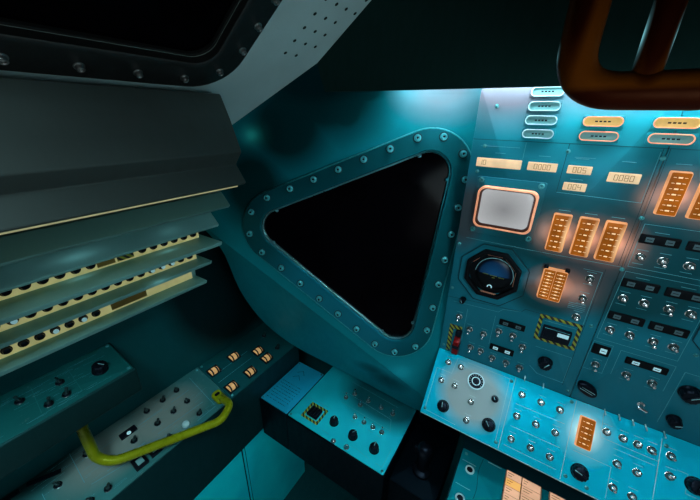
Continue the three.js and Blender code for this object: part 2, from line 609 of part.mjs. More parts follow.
/** Side console: body, plinth and two face plates whose x runs from the wall to the aisle. */
function buildSideConsole() {
  const tilt = rad(SIDE_TILT);
  const rise = (x) => SIDE_EDGE.z - (x - SIDE_EDGE.x) * Math.tan(tilt) - (SKIN + GAP) / Math.cos(tilt);
  const FOOT = -983;
  const section = [[SIDE_EDGE.x - 1, FOOT], [SIDE_EDGE.x - 1, rise(SIDE_EDGE.x - 1)],
    [LEFT + GAP, rise(LEFT + GAP)], [LEFT + GAP, FOOT]];
  piece(cabin, 'side_console', prismAlongY(section, AFT, SIDE_FORE), paint(TEAL));
  piece(cabin, 'side_plinth', box(LEFT + GAP, SIDE_EDGE.x - 6, AFT, SIDE_FORE, DECK_TOP + GAP, FOOT - GAP),
    paint(TEAL));

  const width = (SIDE_EDGE.x - LEFT) / Math.cos(tilt) - 3;
  const rows = [
    { u: 28, y: [54, 85, 223, 304] }, { u: 81, y: [167, 223, 265, 305] },
    { u: 129, y: [90, 225, 265, 305] },
  ];
  const levers = rows.flatMap(({ u, y }) => y.map((v) => toggle(-u, v)));
  const flag = stud(-109, 168, 16, 34, 4);
  const blackBox = stud(-35, 169, 26, 46, 6);
  const lamp = knob(-28, 265, 8, 8);
  piece(sideFrame, 'side_panel_aft',
    facePlate(-width, -1, AFT, SIDE_SEAM - 1, [...levers, flag, blackBox, lamp]), paint(WARM_GREY));

  const DRUMS = [[110, 410], [110, 484], [73, 553], [32, 553], [30, 482], [30, 411]];
  const drums = DRUMS.map(([u, y]) => {
    const drum = new THREE.CylinderGeometry(13, 13, 30, 12);
    drum.translate(-u, y, 0);
    return solid(drum).trimByPlane([0, 0, 1], -2);
  });
  const small = [toggle(-108, 614), toggle(-38, 608)];
  piece(sideFrame, 'side_panel_forward',
    facePlate(-width, -1, SIDE_SEAM, SIDE_FORE, [...drums, ...small]), paint(TEAL));
}

/** Box on the side wall, over the aft half of the side console. */
function buildUpperBox() {
  const EDGE = [-675, -518];
  const FORE = 205;
  const TILT = 11.3;
  const slope = Math.tan(rad(TILT));
  const section = [[EDGE[0], EDGE[1] - 64], [EDGE[0], EDGE[1]],
    [LEFT + GAP, EDGE[1] + (EDGE[0] - LEFT - GAP) * slope], [LEFT + GAP, EDGE[1] - 82]];
  const place = new THREE.Matrix4().makeRotationY(rad(TILT)).setPosition(EDGE[0], 0, EDGE[1]);
  const placed = (geometry) => solid(geometry, place);
  const levers = [[66, 96], [29, 93], [71, 38], [29, 66]].map(([u, y]) =>
    placed(boss(-u, y, -1, 16, 2.5, 5.5, 6)));
  const dial = placed(boss(-45, 157, -1, 15, 14, 16, 12));
  const body = solid(prismAlongY(section, AFT, FORE));
  piece(cabin, 'upper_side_box', union([body, ...levers, dial]), paint(TEAL));
}

/** Yellow-green grab rail from the side console's edge to the upper box's underside. */
function buildSideRail() {
  const RADIUS = 10;
  const BEND = 18;
  const tube = bar([[-648, 366, -741], [-600, 362, -733], [-583, 318, -738], [-668, 112, -706],
    [-694, 92, -690], [-694, 92, -587.6]], RADIUS, BEND, 10);
  const flattenedEnd = solid(box(-46, -10, 353, 379, GAP, 10), sideFrame.matrix);
  piece(cabin, 'side_rail', solid(tube).add(flattenedEnd), paint(YELLOW_GREEN, 0.4, 0));
}

// Breaker shelves

/** Hood, strip light, ledges and the breaker bars between them. */
function buildShelves() {
  const FORE = 434;
  const hood = [[-569, 35], [-549, -8], [-526, -69], [-547, -95], [-522, -130], [-530, -134],
    [LEFT + GAP, -134], [LEFT + GAP, -99], [-627, 18]].reverse();
  piece(cabin, 'hood', prismAlongY(hood, AFT, FORE), paint(SLATE, 0.6, 0.1));
  piece(cabin, 'hood_light', box(-552, -538, AFT + 10, FORE - 10, -138, -134 - GAP), paint(0xf4e6b0, 0.4, 0));

  const web = box(LEFT + GAP, -774, AFT, FORE, -428, -134 - GAP);
  const slanted = (x, z) =>
    [[-775, z + 28], [x - 26, z + 28], [x, z], [x - 7, z - 6], [x - 32, z + 19], [-775, z + 19]];
  const ledge = (x, z) => [[-775, z - 10], [x - 4, z - 10], [x, z], [-775, z]];
  const sections = [
    slanted(-583, -187), slanted(-634, -242), ledge(-632, -284), ledge(-687, -349), ledge(-725, -418),
  ];
  piece(cabin, 'breaker_ledges',
    union([solid(web), ...sections.map((s) => solid(prismAlongY(s, AFT, FORE)))]), paint(TEAL));

  const bars = [
    { name: 'upper', x: -702, z0: -284, z1: -223 },
    { name: 'middle', x: -730, z0: -349, z1: -294 },
    { name: 'lower', x: -768, z0: -418, z1: -359 },
  ];
  bars.forEach(({ name, x, z0, z1 }) => {
    piece(cabin, `breaker_bar_${name}`, box(x - 5, x, AFT + 2, FORE - 14, z0 + GAP, z1 - GAP), paint(CREAM));
  });
}

/** Orange-brown tubular frame that hangs from the overhead, with a centre post. */
function buildOverheadRail() {
  const Y = 480;
  const RADIUS = 19;
  const BEND = 48;
  const [left, middle, right, low, top] = [-5, 61, 150, 30, CEILING - GAP];
  const loop = bar([[left, Y, top], [left, Y, low], [right, Y, low], [right, Y, top]], RADIUS, BEND, 12);
  const post = solid(boss(middle, Y, low, CEILING - GAP - low, 13, 13, 12));
  const flanges = [left, middle, right].map((x) => solid(boss(x, Y, CEILING - GAP - 8, 8, 27, 27, 16)));
  piece(cabin, 'overhead_rail', union([solid(loop), post, ...flanges]), paint(ORANGE_BROWN, 0.45, 0.2));
}

buildDeck();
buildSideWall();
buildFrontWall();
buildWindowFacet();
buildLowerFacet();
buildCornerHull();
buildCeiling();
buildOverheadWindow();
buildSoffit();
buildWindow();
buildMainPanel();
buildDisplay('left', -63, -169);
buildDisplay('right', 339, -169);
buildAttitude('left', -60, -320.5);
buildAttitude('right', 343, -320.5);
buildCautionLights();
buildReadouts();
buildLampBanks();
buildGuards();
buildLowerPanel();
buildCentreConsole();
buildSillConsole();
buildSideConsole();
buildUpperBox();
buildSideRail();
buildShelves();
buildOverheadRail();

const group = new THREE.Group();
group.add(cabin);

export default group;
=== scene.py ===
# %% [markdown]
# # A spacecraft's cockpit section
#
# The object is the front left corner of a crewed spacecraft's cabin, cut out as one section:
# a deck, a side wall with breaker shelves and consoles, a bulkhead facet with a triangular
# window, a sloped ceiling with an overhead window, and the instrument panels. The solid
# model is the fixed frame. Here it gets its fine surfaces, its small fittings and its paint.

import bpy
import numpy as np
from mathutils import Matrix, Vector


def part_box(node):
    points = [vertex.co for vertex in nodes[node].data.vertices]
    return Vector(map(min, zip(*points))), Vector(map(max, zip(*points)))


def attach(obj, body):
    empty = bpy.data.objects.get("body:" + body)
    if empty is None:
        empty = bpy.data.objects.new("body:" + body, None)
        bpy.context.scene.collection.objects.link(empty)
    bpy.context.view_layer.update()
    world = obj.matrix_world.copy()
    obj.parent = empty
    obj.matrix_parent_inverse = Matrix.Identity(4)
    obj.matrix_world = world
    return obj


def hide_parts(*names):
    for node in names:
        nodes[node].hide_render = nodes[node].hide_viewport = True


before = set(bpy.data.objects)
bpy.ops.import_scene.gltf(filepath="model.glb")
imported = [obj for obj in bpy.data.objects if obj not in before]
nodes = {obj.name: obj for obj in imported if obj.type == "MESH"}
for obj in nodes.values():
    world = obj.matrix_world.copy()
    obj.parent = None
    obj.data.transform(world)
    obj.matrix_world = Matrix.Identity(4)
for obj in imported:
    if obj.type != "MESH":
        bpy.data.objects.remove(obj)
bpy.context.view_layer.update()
rng = np.random.default_rng(7)
print("nodes in the frame:", len(nodes))


# %% [markdown]
# ## Places
#
# Inside a cabin everything is set out from the crew member's eye point, so the script does
# the same. The eye point comes from the main panel's housing: it lies a known way right of
# the housing's left edge, aft of its front and under its top. Each panel then has a frame
# of its own, in millimetres: x to the right, y up the panel and z out of its face. That way
# a switch on a tilted panel is written with two plain numbers, as on its drawing.

# %% The eye point and the panels' frames
MM = 0.001
housing_low, housing_high = (np.array(c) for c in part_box("main_housing"))
PANEL_LEFT, PANEL_RIGHT = -147.0, 434.0
PANEL_TOP, PANEL_BOTTOM = 53.0, -565.0
PANEL_Y = 700.0
SKIN = 4.0
EYE = np.array([
    housing_low[0] - PANEL_LEFT * MM,
    housing_low[1] - (PANEL_Y + SKIN + 0.3) * MM,
    housing_high[2] - PANEL_TOP * MM,
])


def turn(x=0.0, y=0.0, z=0.0):
    """Rotation about X, then Y, then Z, in degrees, as one 3 by 3 matrix."""
    ax, ay, az = np.radians([x, y, z])
    rx = np.array([[1, 0, 0], [0, np.cos(ax), -np.sin(ax)], [0, np.sin(ax), np.cos(ax)]])
    ry = np.array([[np.cos(ay), 0, np.sin(ay)], [0, 1, 0], [-np.sin(ay), 0, np.cos(ay)]])
    rz = np.array([[np.cos(az), -np.sin(az), 0], [np.sin(az), np.cos(az), 0], [0, 0, 1]])
    return rz @ ry @ rx


class Place:
    """A panel's frame: an origin from the eye point, in mm, and its three axes."""

    def __init__(self, origin, axes):
        self.origin = np.array(origin, float)
        self.axes = axes

    def world(self, points):
        """Row metres = eye + (origin + axes . point) / 1000, for an array of points."""
        return EYE + (self.origin + np.asarray(points, float) @ self.axes.T) * MM


LOWER_TILT, LOWER_LENGTH = 51.0, 168.0
WINDOW_YAW, WINDOW_LEAN = 24.5, 8.3
SLOPE = 36.0
SIDE_TILT, BOX_TILT = 15.0, 11.3
SILL_TOP, CENTRE_TOP = -840.0, -790.0

CABIN = Place([0, 0, 0], turn())
MAIN = Place([0, PANEL_Y, 0], turn(x=90))
LOWER = Place([0, PANEL_Y, PANEL_BOTTOM], turn(x=LOWER_TILT))
WINDOW = Place([-358, 656.6, -301.2], turn(x=90 - WINDOW_LEAN, z=WINDOW_YAW))
CEILING = Place([-576, 0, 57], turn(y=-SLOPE))
SIDE = Place([-632, 0, -756.5], turn(y=SIDE_TILT))
UPPER = Place([-675, 0, -518], turn(y=BOX_TILT))
SILL = Place([0, 0, SILL_TOP], turn())
CENTRE = Place([0, 0, CENTRE_TOP], turn())
print("eye point, m:", np.round(EYE, 4))

# %% [markdown]
# ## Camera
#
# The view is that of a standing crew member who looks down and to the left, through a very
# wide lens. The camera sits at the eye point. Its three angles and its lens come from the
# vanishing points of the panels' straight edges.

# %% The camera
VIEW_YAW, VIEW_PITCH, VIEW_ROLL = 31.83, -23.10, 1.11
FOCAL_PIXELS, IMAGE_WIDTH = 314.2, 700

camera_data = bpy.data.cameras.new("view")
camera_data.sensor_fit = "HORIZONTAL"
camera_data.sensor_width = 36.0
camera_data.lens = FOCAL_PIXELS / IMAGE_WIDTH * camera_data.sensor_width
camera_data.clip_start = 0.01
camera = bpy.data.objects.new("view", camera_data)
bpy.context.collection.objects.link(camera)
aim = turn(x=90 + VIEW_PITCH, z=VIEW_YAW) @ turn(z=VIEW_ROLL)
placed = np.eye(4)
placed[:3, :3] = aim
placed[:3, 3] = EYE
camera.matrix_world = Matrix(placed.tolist())
bpy.context.scene.camera = camera
print("lens, mm:", round(camera_data.lens, 2))

# %% [markdown]
# ## Floor and light
#
# A cabin section in a studio stands on a pale floor. The section is open at its right side
# and at its back, so its lamps shine in there: a strong one from above the crew's place, a
# small one on the window facet, and weak ones for the wall, for the hood and for each open
# side. Two large lamps stand outside, at the left and in front, for the hull. The camera
# sees none of them. A weak even sky fills in the rest. Colours are shown as they are,
# without a film curve, because the paint is a deep teal that a film curve would wash out.

# %% Floor, sky and soft lamps
floor_mesh = bpy.data.meshes.new("studio_floor")
REACH = 12.0
floor_mesh.from_pydata([(-REACH, -REACH, 0), (REACH, -REACH, 0), (REACH, REACH, 0), (-REACH, REACH, 0)],
                       [], [(0, 1, 2, 3)])
floor = bpy.data.objects.new("studio_floor", floor_mesh)
bpy.context.collection.objects.link(floor)

world = bpy.data.worlds.new("soft_sky")
bpy.context.scene.world = world
world.use_nodes = True
sky = world.node_tree.nodes["Background"]
sky.inputs["Color"].default_value = (0.80, 0.84, 0.88, 1)
sky.inputs["Strength"].default_value = 0.025
bpy.context.scene.view_settings.view_transform = "Standard"

COOL = (0.72, 0.95, 1.0)


def soft_lamp(name, at, towards, size, power, color=(1.0, 1.0, 1.0)):
    """A square soft lamp at a point, turned towards another point."""
    data = bpy.data.lights.new(name, "AREA")
    data.shape = "SQUARE"
    data.size = size
    data.energy = power
    data.color = color
    lamp = bpy.data.objects.new(name, data)
    bpy.context.collection.objects.link(lamp)
    back = np.array(at, float) - np.array(towards, float)
    back /= np.linalg.norm(back)
    side = np.cross([0, 1.0, 0.01], back)
    side /= np.linalg.norm(side)
    pose = np.eye(4)
    pose[:3, 0], pose[:3, 1], pose[:3, 2] = side, np.cross(back, side), back
    pose[:3, 3] = at
    lamp.matrix_world = Matrix(pose.tolist())
    lamp.visible_camera = False


soft_lamp("lamp_key", CABIN.world([0, -300, 600]), CABIN.world([100, 400, -700]), 0.5, 17.3, COOL)
soft_lamp("lamp_facet", CABIN.world([150, 300, -100]), CABIN.world([-180, 690, -450]), 0.2, 0.95, COOL)
soft_lamp("lamp_wall", CABIN.world([-60, 60, 300]), CABIN.world([-300, 200, -800]), 0.34, 0.45)
soft_lamp("lamp_hood", CABIN.world([500, -300, -200]), CABIN.world([-550, 150, 120]), 0.4, 0.5)
soft_lamp("lamp_aft", (0.55, -2.2, 2.1), (-0.1, 0.3, 1.0), 1.8, 0.6)
soft_lamp("lamp_right", (2.1, -0.6, 1.9), (-0.1, 0.2, 1.0), 1.5, 0.4)
soft_lamp("lamp_left", (-3.2, 0.6, 2.8), (0, 0, 0.9), 2.5, 90)
soft_lamp("lamp_front", (-0.4, 3.6, 3.0), (0, 0, 0.9), 2.5, 110)

# %% [markdown]
# ## Surfaces from arrays
#
# Every new piece is a surface that numpy works out as whole arrays. A surface here is a
# small record of vertices, four-sided faces and three-sided faces. It can be copied to
# many places at once, which suits a cockpit: one screw is made once and then stands at
# forty places.


# %% A surface record and its mesh
class Surface:
    """Vertices (n, 3), quads (m, 4) and triangles (k, 3), in the millimetres of one frame."""

    def __init__(self, points, quads=(), triangles=()):
        self.points = np.asarray(points, float).reshape(-1, 3)
        self.quads = np.asarray(quads, int).reshape(-1, 4)
        self.triangles = np.asarray(triangles, int).reshape(-1, 3)

    def moved(self, shift=(0, 0, 0), axes=None):
        """The same surface turned by a 3 by 3 matrix and then shifted."""
        points = self.points if axes is None else self.points @ np.asarray(axes).T
        return Surface(points + np.asarray(shift, float), self.quads, self.triangles)

    def copies(self, places, axes=None):
        """One surface with a copy at each place: points repeat, and each copy's faces count on."""
        places = np.asarray(places, float).reshape(-1, 3)
        count, size = len(places), len(self.points)
        points = self.points if axes is None else self.points @ np.asarray(axes).T
        step = np.arange(count)[:, None, None] * size
        return Surface((points[None] + places[:, None]).reshape(-1, 3),
                       (self.quads[None] + step).reshape(-1, 4),
                       (self.triangles[None] + step).reshape(-1, 3))


def joined(surfaces):
    """Several surfaces as one."""
    starts = np.cumsum([0] + [len(s.points) for s in surfaces[:-1]])
    return Surface(np.vstack([s.points for s in surfaces]),
                   np.vstack([s.quads + k for s, k in zip(surfaces, starts)]),
                   np.vstack([s.triangles + k for s, k in zip(surfaces, starts)]))


SHARP_ANGLE = 40.0


def piece(name, surface, place, material, replaces=()):
    """Puts a surface into a mesh object that rides on the section, shaded smooth under an angle."""
    mesh = bpy.data.meshes.new(name)
    points = place.world(surface.points)
    faces = np.concatenate([surface.quads.ravel(), surface.triangles.ravel()])
    sizes = np.concatenate([np.full(len(surface.quads), 4), np.full(len(surface.triangles), 3)])
    mesh.vertices.add(len(points))
    mesh.vertices.foreach_set("co", points.ravel())
    mesh.loops.add(len(faces))
    mesh.loops.foreach_set("vertex_index", faces)
    mesh.polygons.add(len(sizes))
    mesh.polygons.foreach_set("loop_start", np.cumsum(sizes) - sizes)
    mesh.polygons.foreach_set("use_smooth", np.ones(len(sizes), bool))
    mesh.update(calc_edges=True)
    mesh.validate()
    mesh.set_sharp_from_angle(angle=np.radians(SHARP_ANGLE))
    mesh.materials.append(material)
    made = bpy.data.objects.new(name, mesh)
    bpy.context.collection.objects.link(made)
    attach(made, "root")
    if replaces:
        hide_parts(*replaces)
    print(name, "vertices:", len(points), "faces:", len(sizes))


# %% [markdown]
# Four ways of making a surface cover nearly everything here. Round things are a profile
# turned about an axis. Frames, bezels and tubes are a profile carried along a path. Plates
# and blocks are an outline drawn at several heights. Small blocks are boxes with cut edges.


# %% Turned, carried and stacked surfaces
def wrapped_grid(rows, columns, close_rows, close_columns):
    """Quads of a grid of rows by columns vertices: (i, j), (i, j+1), (i+1, j+1), (i+1, j)."""
    i, j = np.meshgrid(np.arange(rows if close_rows else rows - 1),
                       np.arange(columns if close_columns else columns - 1), indexing="ij")
    i2, j2 = (i + 1) % rows, (j + 1) % columns
    row, next_row = i * columns, i2 * columns
    return np.stack([row + j, row + j2, next_row + j2, next_row + j], -1).reshape(-1, 4)


def fan(ring, centre, outward):
    """Triangles from a ring of vertex numbers to one centre vertex."""
    following = np.roll(ring, -1)
    pair = (ring, following) if outward else (following, ring)
    return np.stack([pair[0], pair[1], np.full(len(ring), centre)], -1)


def stacked(outlines):
    """Closed outlines (levels, n, 3), anticlockwise from above, from the lowest up, with both ends shut."""
    outlines = np.asarray(outlines, float)
    levels, n = outlines.shape[:2]
    top = levels * n
    points = np.vstack([outlines.reshape(-1, 3), outlines[0].mean(0), outlines[-1].mean(0)])
    triangles = np.vstack([fan(np.arange(n), top, False), fan(np.arange(n) + top - n, top + 1, True)])
    return Surface(points, wrapped_grid(levels, n, False, True), triangles)


def turned(profile, sides, wave=0.0, waves=0):
    """A profile of (radius, height), from the low axis to the high one, turned about z.

    Radius at angle a = r (1 + wave cos(waves a)), so `waves` gives grip flutes.
    """
    profile = np.asarray(profile, float)
    a = np.arange(sides) * 2 * np.pi / sides
    flute = 1 + wave * np.cos(waves * a)
    rings = [np.stack([r * flute * np.cos(a), r * flute * np.sin(a), np.full(sides, z)], -1)
             for r, z in profile]
    return stacked(rings)


def carried(path, out, profile, closed=True):
    """A closed profile of (out, up) offsets carried along a path (n, 3) with outward directions."""
    path, out, profile = (np.asarray(values, float) for values in (path, out, profile))
    up = np.array([0, 0, 1.0])
    points = path[:, None] + profile[None, :, 0:1] * out[:, None] + profile[None, :, 1:2] * up
    points = points.reshape(-1, 3)
    n, m = len(path), len(profile)
    if closed:
        return Surface(points, wrapped_grid(n, m, True, True))
    points = np.vstack([points, points[:m].mean(0), points[-m:].mean(0)])
    triangles = np.vstack([fan(np.arange(m), n * m, False), fan(np.arange(m) + (n - 1) * m, n * m + 1, True)])
    return Surface(points, wrapped_grid(n, m, False, True), triangles)


def cut_boxes(low, high, cut):
    """Boxes between low and high corners (n, 3), with all twelve edges cut at 45 degrees.

    Each corner has three vertices: one on each of its faces, drawn in by `cut` along the other two.
    """
    low, high = np.atleast_2d(np.asarray(low, float)), np.atleast_2d(np.asarray(high, float))
    signs = np.array(list(np.ndindex(2, 2, 2)), float) * 2 - 1
    centre, half = (low + high) / 2, (high - low) / 2
    cut = np.minimum(cut, half.min(axis=1) * 0.9)[:, None, None]
    pulled = 1 - np.eye(3)
    points = np.stack([centre[:, None] + signs[None] * (half[:, None] - cut * row) for row in pulled], 2)

    def index(x, y, z, face):
        """The vertex that the corner (x, y, z), each 0 or 1, has on one of its faces."""
        return ((x * 2 + y) * 2 + z) * 3 + face

    quads, triangles = [], []
    for face, side in np.ndindex(3, 2):
        loop = []
        for u, v in ((0, 0), (1, 0), (1, 1), (0, 1)):
            at = [0, 0, 0]
            at[face], at[(face + 1) % 3], at[(face + 2) % 3] = side, u, v
            loop.append(index(*at, face))
        quads.append(loop if side else loop[::-1])
    for edge, u, v in np.ndindex(3, 2, 2):
        a, b = (edge + 1) % 3, (edge + 2) % 3
        at = [0, 0, 0]
        at[a], at[b] = u, v
        far = list(at)
        far[edge] = 1
        loop = [index(*at, a), index(*far, a), index(*far, b), index(*at, b)]
        quads.append(loop if u != v else loop[::-1])
    for corner in np.ndindex(2, 2, 2):
        loop = [index(*corner, face) for face in range(3)]
        triangles.append(loop if sum(corner) % 2 else loop[::-1])
    step = np.arange(len(low))[:, None, None] * 24
    return Surface(points, np.array(quads) + step, np.array(triangles) + step)


# %% [markdown]
# Outlines with round corners serve the plates, screens, windows and bezels. Each one is a
# run of arcs, so it can be drawn again a little smaller with the same number of points,
# and two such outlines joined make a soft edge.


# %% Outlines
EASED_STEPS = 4


def arc(x, y, radius, start, end, steps):
    """Points on an arc, angles in degrees."""
    a = np.radians(np.linspace(start, end, steps))
    return np.stack([x + radius * np.cos(a), y + radius * np.sin(a)], -1)


def round_rectangle(x, y, width, height, radius, steps):
    """A rectangle whose four corners are quarter circles, anticlockwise."""
    w, h = width / 2 - radius, height / 2 - radius
    corners = [(x + w, y - h, -90), (x + w, y + h, 0), (x - w, y + h, 90), (x - w, y - h, 180)]
    return np.vstack([arc(cx, cy, radius, a, a + 90, steps) for cx, cy, a in corners])


def polygon(x, y, apothem, n, corner, steps):
    """A regular polygon with a flat on top, whose corners are short arcs."""
    reach = (apothem - corner) / np.cos(np.pi / n)
    turns = (np.arange(n) + 0.5) * 360 / n
    return np.vstack([arc(x + reach * np.cos(np.radians(t)), y + reach * np.sin(np.radians(t)), corner,
                          t - 180 / n, t + 180 / n, steps) for t in turns])


def round_corners(points, radius):
    """A closed outline whose corners are eased: each becomes a curve between two points beside it.

    A corner P between A and B becomes the quadratic curve (1-t)^2 A' + 2t(1-t) P + t^2 B'.
    """
    points = np.asarray(points, float)
    before, after = np.roll(points, 1, 0) - points, np.roll(points, -1, 0) - points
    length_b = np.linalg.norm(before, axis=1, keepdims=True)
    length_a = np.linalg.norm(after, axis=1, keepdims=True)
    start = points + before / length_b * np.minimum(radius, length_b * 0.45)
    end = points + after / length_a * np.minimum(radius, length_a * 0.45)
    t = np.linspace(0, 1, EASED_STEPS)[None, :, None]
    curves = (1 - t) ** 2 * start[:, None] + 2 * t * (1 - t) * points[:, None] + t ** 2 * end[:, None]
    return curves.reshape(-1, 2)


def at_height(outline, z):
    """A flat outline (n, 2) lifted to one height."""
    return np.column_stack([outline, np.full(len(outline), z)])


def soft_plate(draw, z0, z1, edge):
    """A plate between two heights with a soft upper edge. draw(inset) gives its outline."""
    return stacked([at_height(draw(0), z0), at_height(draw(0), z1 - edge),
                    at_height(draw(edge * 0.35), z1 - edge * 0.3), at_height(draw(edge), z1)])


def plate(x0, x1, y0, y1, z0, z1, edge, radius=1.5):
    """A rectangular plate with a soft upper edge."""
    x, y = (x0 + x1) / 2, (y0 + y1) / 2
    return soft_plate(lambda inset: round_rectangle(x, y, x1 - x0 - 2 * inset, y1 - y0 - 2 * inset,
                                                    max(radius - inset * 0.5, 0.3), 3), z0, z1, edge)


def band(draw, levels):
    """A band closed in section: draw(inset) is its outline at each (inset, height) of the levels."""
    outlines = np.array([at_height(draw(inset), z) for inset, z in levels])
    return Surface(outlines.reshape(-1, 3), wrapped_grid(len(levels), outlines.shape[1], True, True))


def ring(draw, inner, z0, z1, edge):
    """A flat frame between draw(0) and draw(inner), with soft outer and inner upper edges."""
    return band(draw, [(0, z0), (0, z1 - edge), (edge * 0.3, z1 - edge * 0.3), (edge, z1), (inner - edge, z1),
                       (inner - edge * 0.3, z1 - edge * 0.3), (inner, z1 - edge), (inner, z0)])


def along_x(points, s):
    """Points (y, z) of a section, at x = s."""
    return np.column_stack([np.full(len(points), s), points])


def along_y(points, s):
    """Points (x, z) of a section, at y = s."""
    return np.column_stack([points[:, 0], np.full(len(points), s), points[:, 1]])


def extruded(section, start, end, place_section, cut):
    """A section (n, 2) carried straight from start to end, with its ends slightly cut back.

    place_section(points, s) gives 3-D points of the section at the distance s.
    """
    centre = section.mean(0)
    small = centre + (section - centre) * (1 - cut / np.abs(section - centre).max())
    return stacked([place_section(small, start), place_section(section, start + cut),
                    place_section(section, end - cut), place_section(small, end)])


print("ways of making a surface: turned, carried, stacked, cut boxes")

# %% [markdown]
# ## Finishes
#
# Spacecraft interiors are painted, and paint is never one flat colour: it has soft clouds
# where it went on thicker, fine speckle, scuffs where gloves rub, and a roughness that
# changes with them. One recipe makes all the painted finishes. It reads Object
# coordinates, so that it has the same scale on every piece.


# %% Painted finishes
def shader(name, values):
    """A new material: its tree, its main shader with some sockets set, and its object coordinates."""
    material = bpy.data.materials.new(name)
    material.use_nodes = True
    tree = material.node_tree
    main = tree.nodes["Principled BSDF"]
    for socket, value in values.items():
        main.inputs[socket].default_value = value
    return material, tree, main, tree.nodes.new("ShaderNodeTexCoord").outputs["Object"]


def noise(tree, coordinates, scale, detail, roughness=0.55, stretch=None):
    """Noise on object coordinates, optionally stretched, as a 0 to 1 factor."""
    vector = coordinates
    if stretch is not None:
        mapping = tree.nodes.new("ShaderNodeMapping")
        mapping.inputs["Scale"].default_value = stretch
        tree.links.new(coordinates, mapping.inputs["Vector"])
        vector = mapping.outputs["Vector"]
    node = tree.nodes.new("ShaderNodeTexNoise")
    node.inputs["Scale"].default_value = scale
    node.inputs["Detail"].default_value = detail
    node.inputs["Roughness"].default_value = roughness
    tree.links.new(vector, node.inputs["Vector"])
    return node.outputs["Fac"]


def ramp(tree, factor, stops):
    """Colours or greys at positions between 0 and 1."""
    node = tree.nodes.new("ShaderNodeValToRGB")
    elements = node.color_ramp.elements
    while len(elements) < len(stops):
        elements.new(0.5)
    for element, (position, color) in zip(elements, stops):
        element.position = position
        element.color = (*color, 1) if np.ndim(color) else (color, color, color, 1)
    tree.links.new(factor, node.inputs["Fac"])
    return node.outputs["Color"]


def mixed(tree, factor, first, second, blend="MIX"):
    """Mixes two colours, each a socket or a plain colour."""
    node = tree.nodes.new("ShaderNodeMix")
    node.data_type = "RGBA"
    node.blend_type = blend
    for value, socket in ((factor, node.inputs[0]), (first, node.inputs[6]), (second, node.inputs[7])):
        if isinstance(value, bpy.types.NodeSocket):
            tree.links.new(value, socket)
        elif np.ndim(value):
            socket.default_value = (*value, 1)
        else:
            socket.default_value = value
    return node.outputs[2]


def painted(name, color, rough=0.48, cloud=0.16, scuff=0.25, metal=0.0, sheen=0.15, gloss=0.5):
    """Sprayed paint: colour times a soft cloud, plus thin pale scuffs that are also less rough.

    The shine takes the paint's own tint: `sheen` is 0 for the full tint and 1 for a white shine.
    `gloss` is how strong the shine is, and 0.5 is the usual one.
    """
    color = np.array(color, float)
    # The shine's tint follows the paint's colour. That is a painted reflection colour, which stands in for
    # the cabin's cyan light.
    tint = color / color.max() * (1 - sheen) + sheen
    material, tree, main, coordinates = shader(name, {
        "Metallic": metal,
        "Specular Tint": (*tint, 1),
        "Specular IOR Level": gloss,
    })
    clouds = noise(tree, coordinates, 5.0, 4.0)
    base = ramp(tree, clouds, [(0.30, color * (1 - cloud)), (0.72, np.minimum(color * (1 + cloud), 1))])
    streaks = noise(tree, coordinates, 60.0, 5.0, 0.7, (1.0, 1.0, 0.35))
    mask = ramp(tree, streaks, [(0.62, 0.0), (0.80, scuff)])
    speckle = noise(tree, coordinates, 420.0, 2.0)
    grains = mixed(tree, ramp(tree, speckle, [(0.35, 0.10), (0.65, 0.0)]), base, color * 0.6)
    tree.links.new(mixed(tree, mask, grains, color * 0.45 + 0.32), main.inputs["Base Color"])
    rubbed = ramp(tree, streaks, [(0.30, rough + 0.10), (0.75, rough - 0.12)])
    tree.links.new(rubbed, main.inputs["Roughness"])
    bump = tree.nodes.new("ShaderNodeBump")
    bump.inputs["Strength"].default_value = 0.12
    bump.inputs["Distance"].default_value = 0.0004
    tree.links.new(speckle, bump.inputs["Height"])
    tree.links.new(bump.outputs["Normal"], main.inputs["Normal"])
    return material


# The deep teal of these paints is partly their own colour and partly painted light: the cyan of the cabin's
# lamps. How light or dark each teal is also partly stands for how light falls on its part, so it is partly
# painted light and painted shade.
TEAL_SHELL = painted("teal_shell_paint", (0.002, 0.060, 0.068), scuff=0.06)
TEAL_FACET = painted("facet_paint", (0.003, 0.190, 0.238), rough=0.42, scuff=0.05, sheen=0.0)
TEAL_RING = painted("ring_paint", (0.002, 0.060, 0.076), rough=0.38, scuff=0.05, sheen=0.0)
# Painted highlight: the paler band along the window ring's outer edge, where the edge catches the light.
RING_EDGE_HIGHLIGHT = painted("ring_edge_highlight_paint", (0.020, 0.260, 0.300), rough=0.3, scuff=0.2)
TEAL_PANEL = painted("bright_panel_paint", (0.003, 0.600, 0.860), rough=0.42, scuff=0.05, sheen=0.0)
# Painted light: the plinth is the brightest teal, for the light that falls on its face.
TEAL_PLINTH = painted("plinth_paint", (0.003, 0.780, 0.960), rough=0.5, scuff=0.05)
TEAL_DEEP = painted("deep_teal_paint", (0.001, 0.022, 0.030), rough=0.5, scuff=0.03)
MAIN_FACE = painted("main_panel_paint", (0.008, 0.170, 0.240), rough=0.42, scuff=0.10)
SIDE_FACE = painted("side_panel_paint", (0.026, 0.150, 0.155), rough=0.5, cloud=0.3, scuff=0.5)
SILL_FACE_PAINT = painted("sill_face_paint", (0.006, 0.560, 0.680), rough=0.42, scuff=0.12)
PLATE_BLUE = painted("blue_plate_paint", (0.008, 0.350, 0.560), rough=0.45, scuff=0.12)
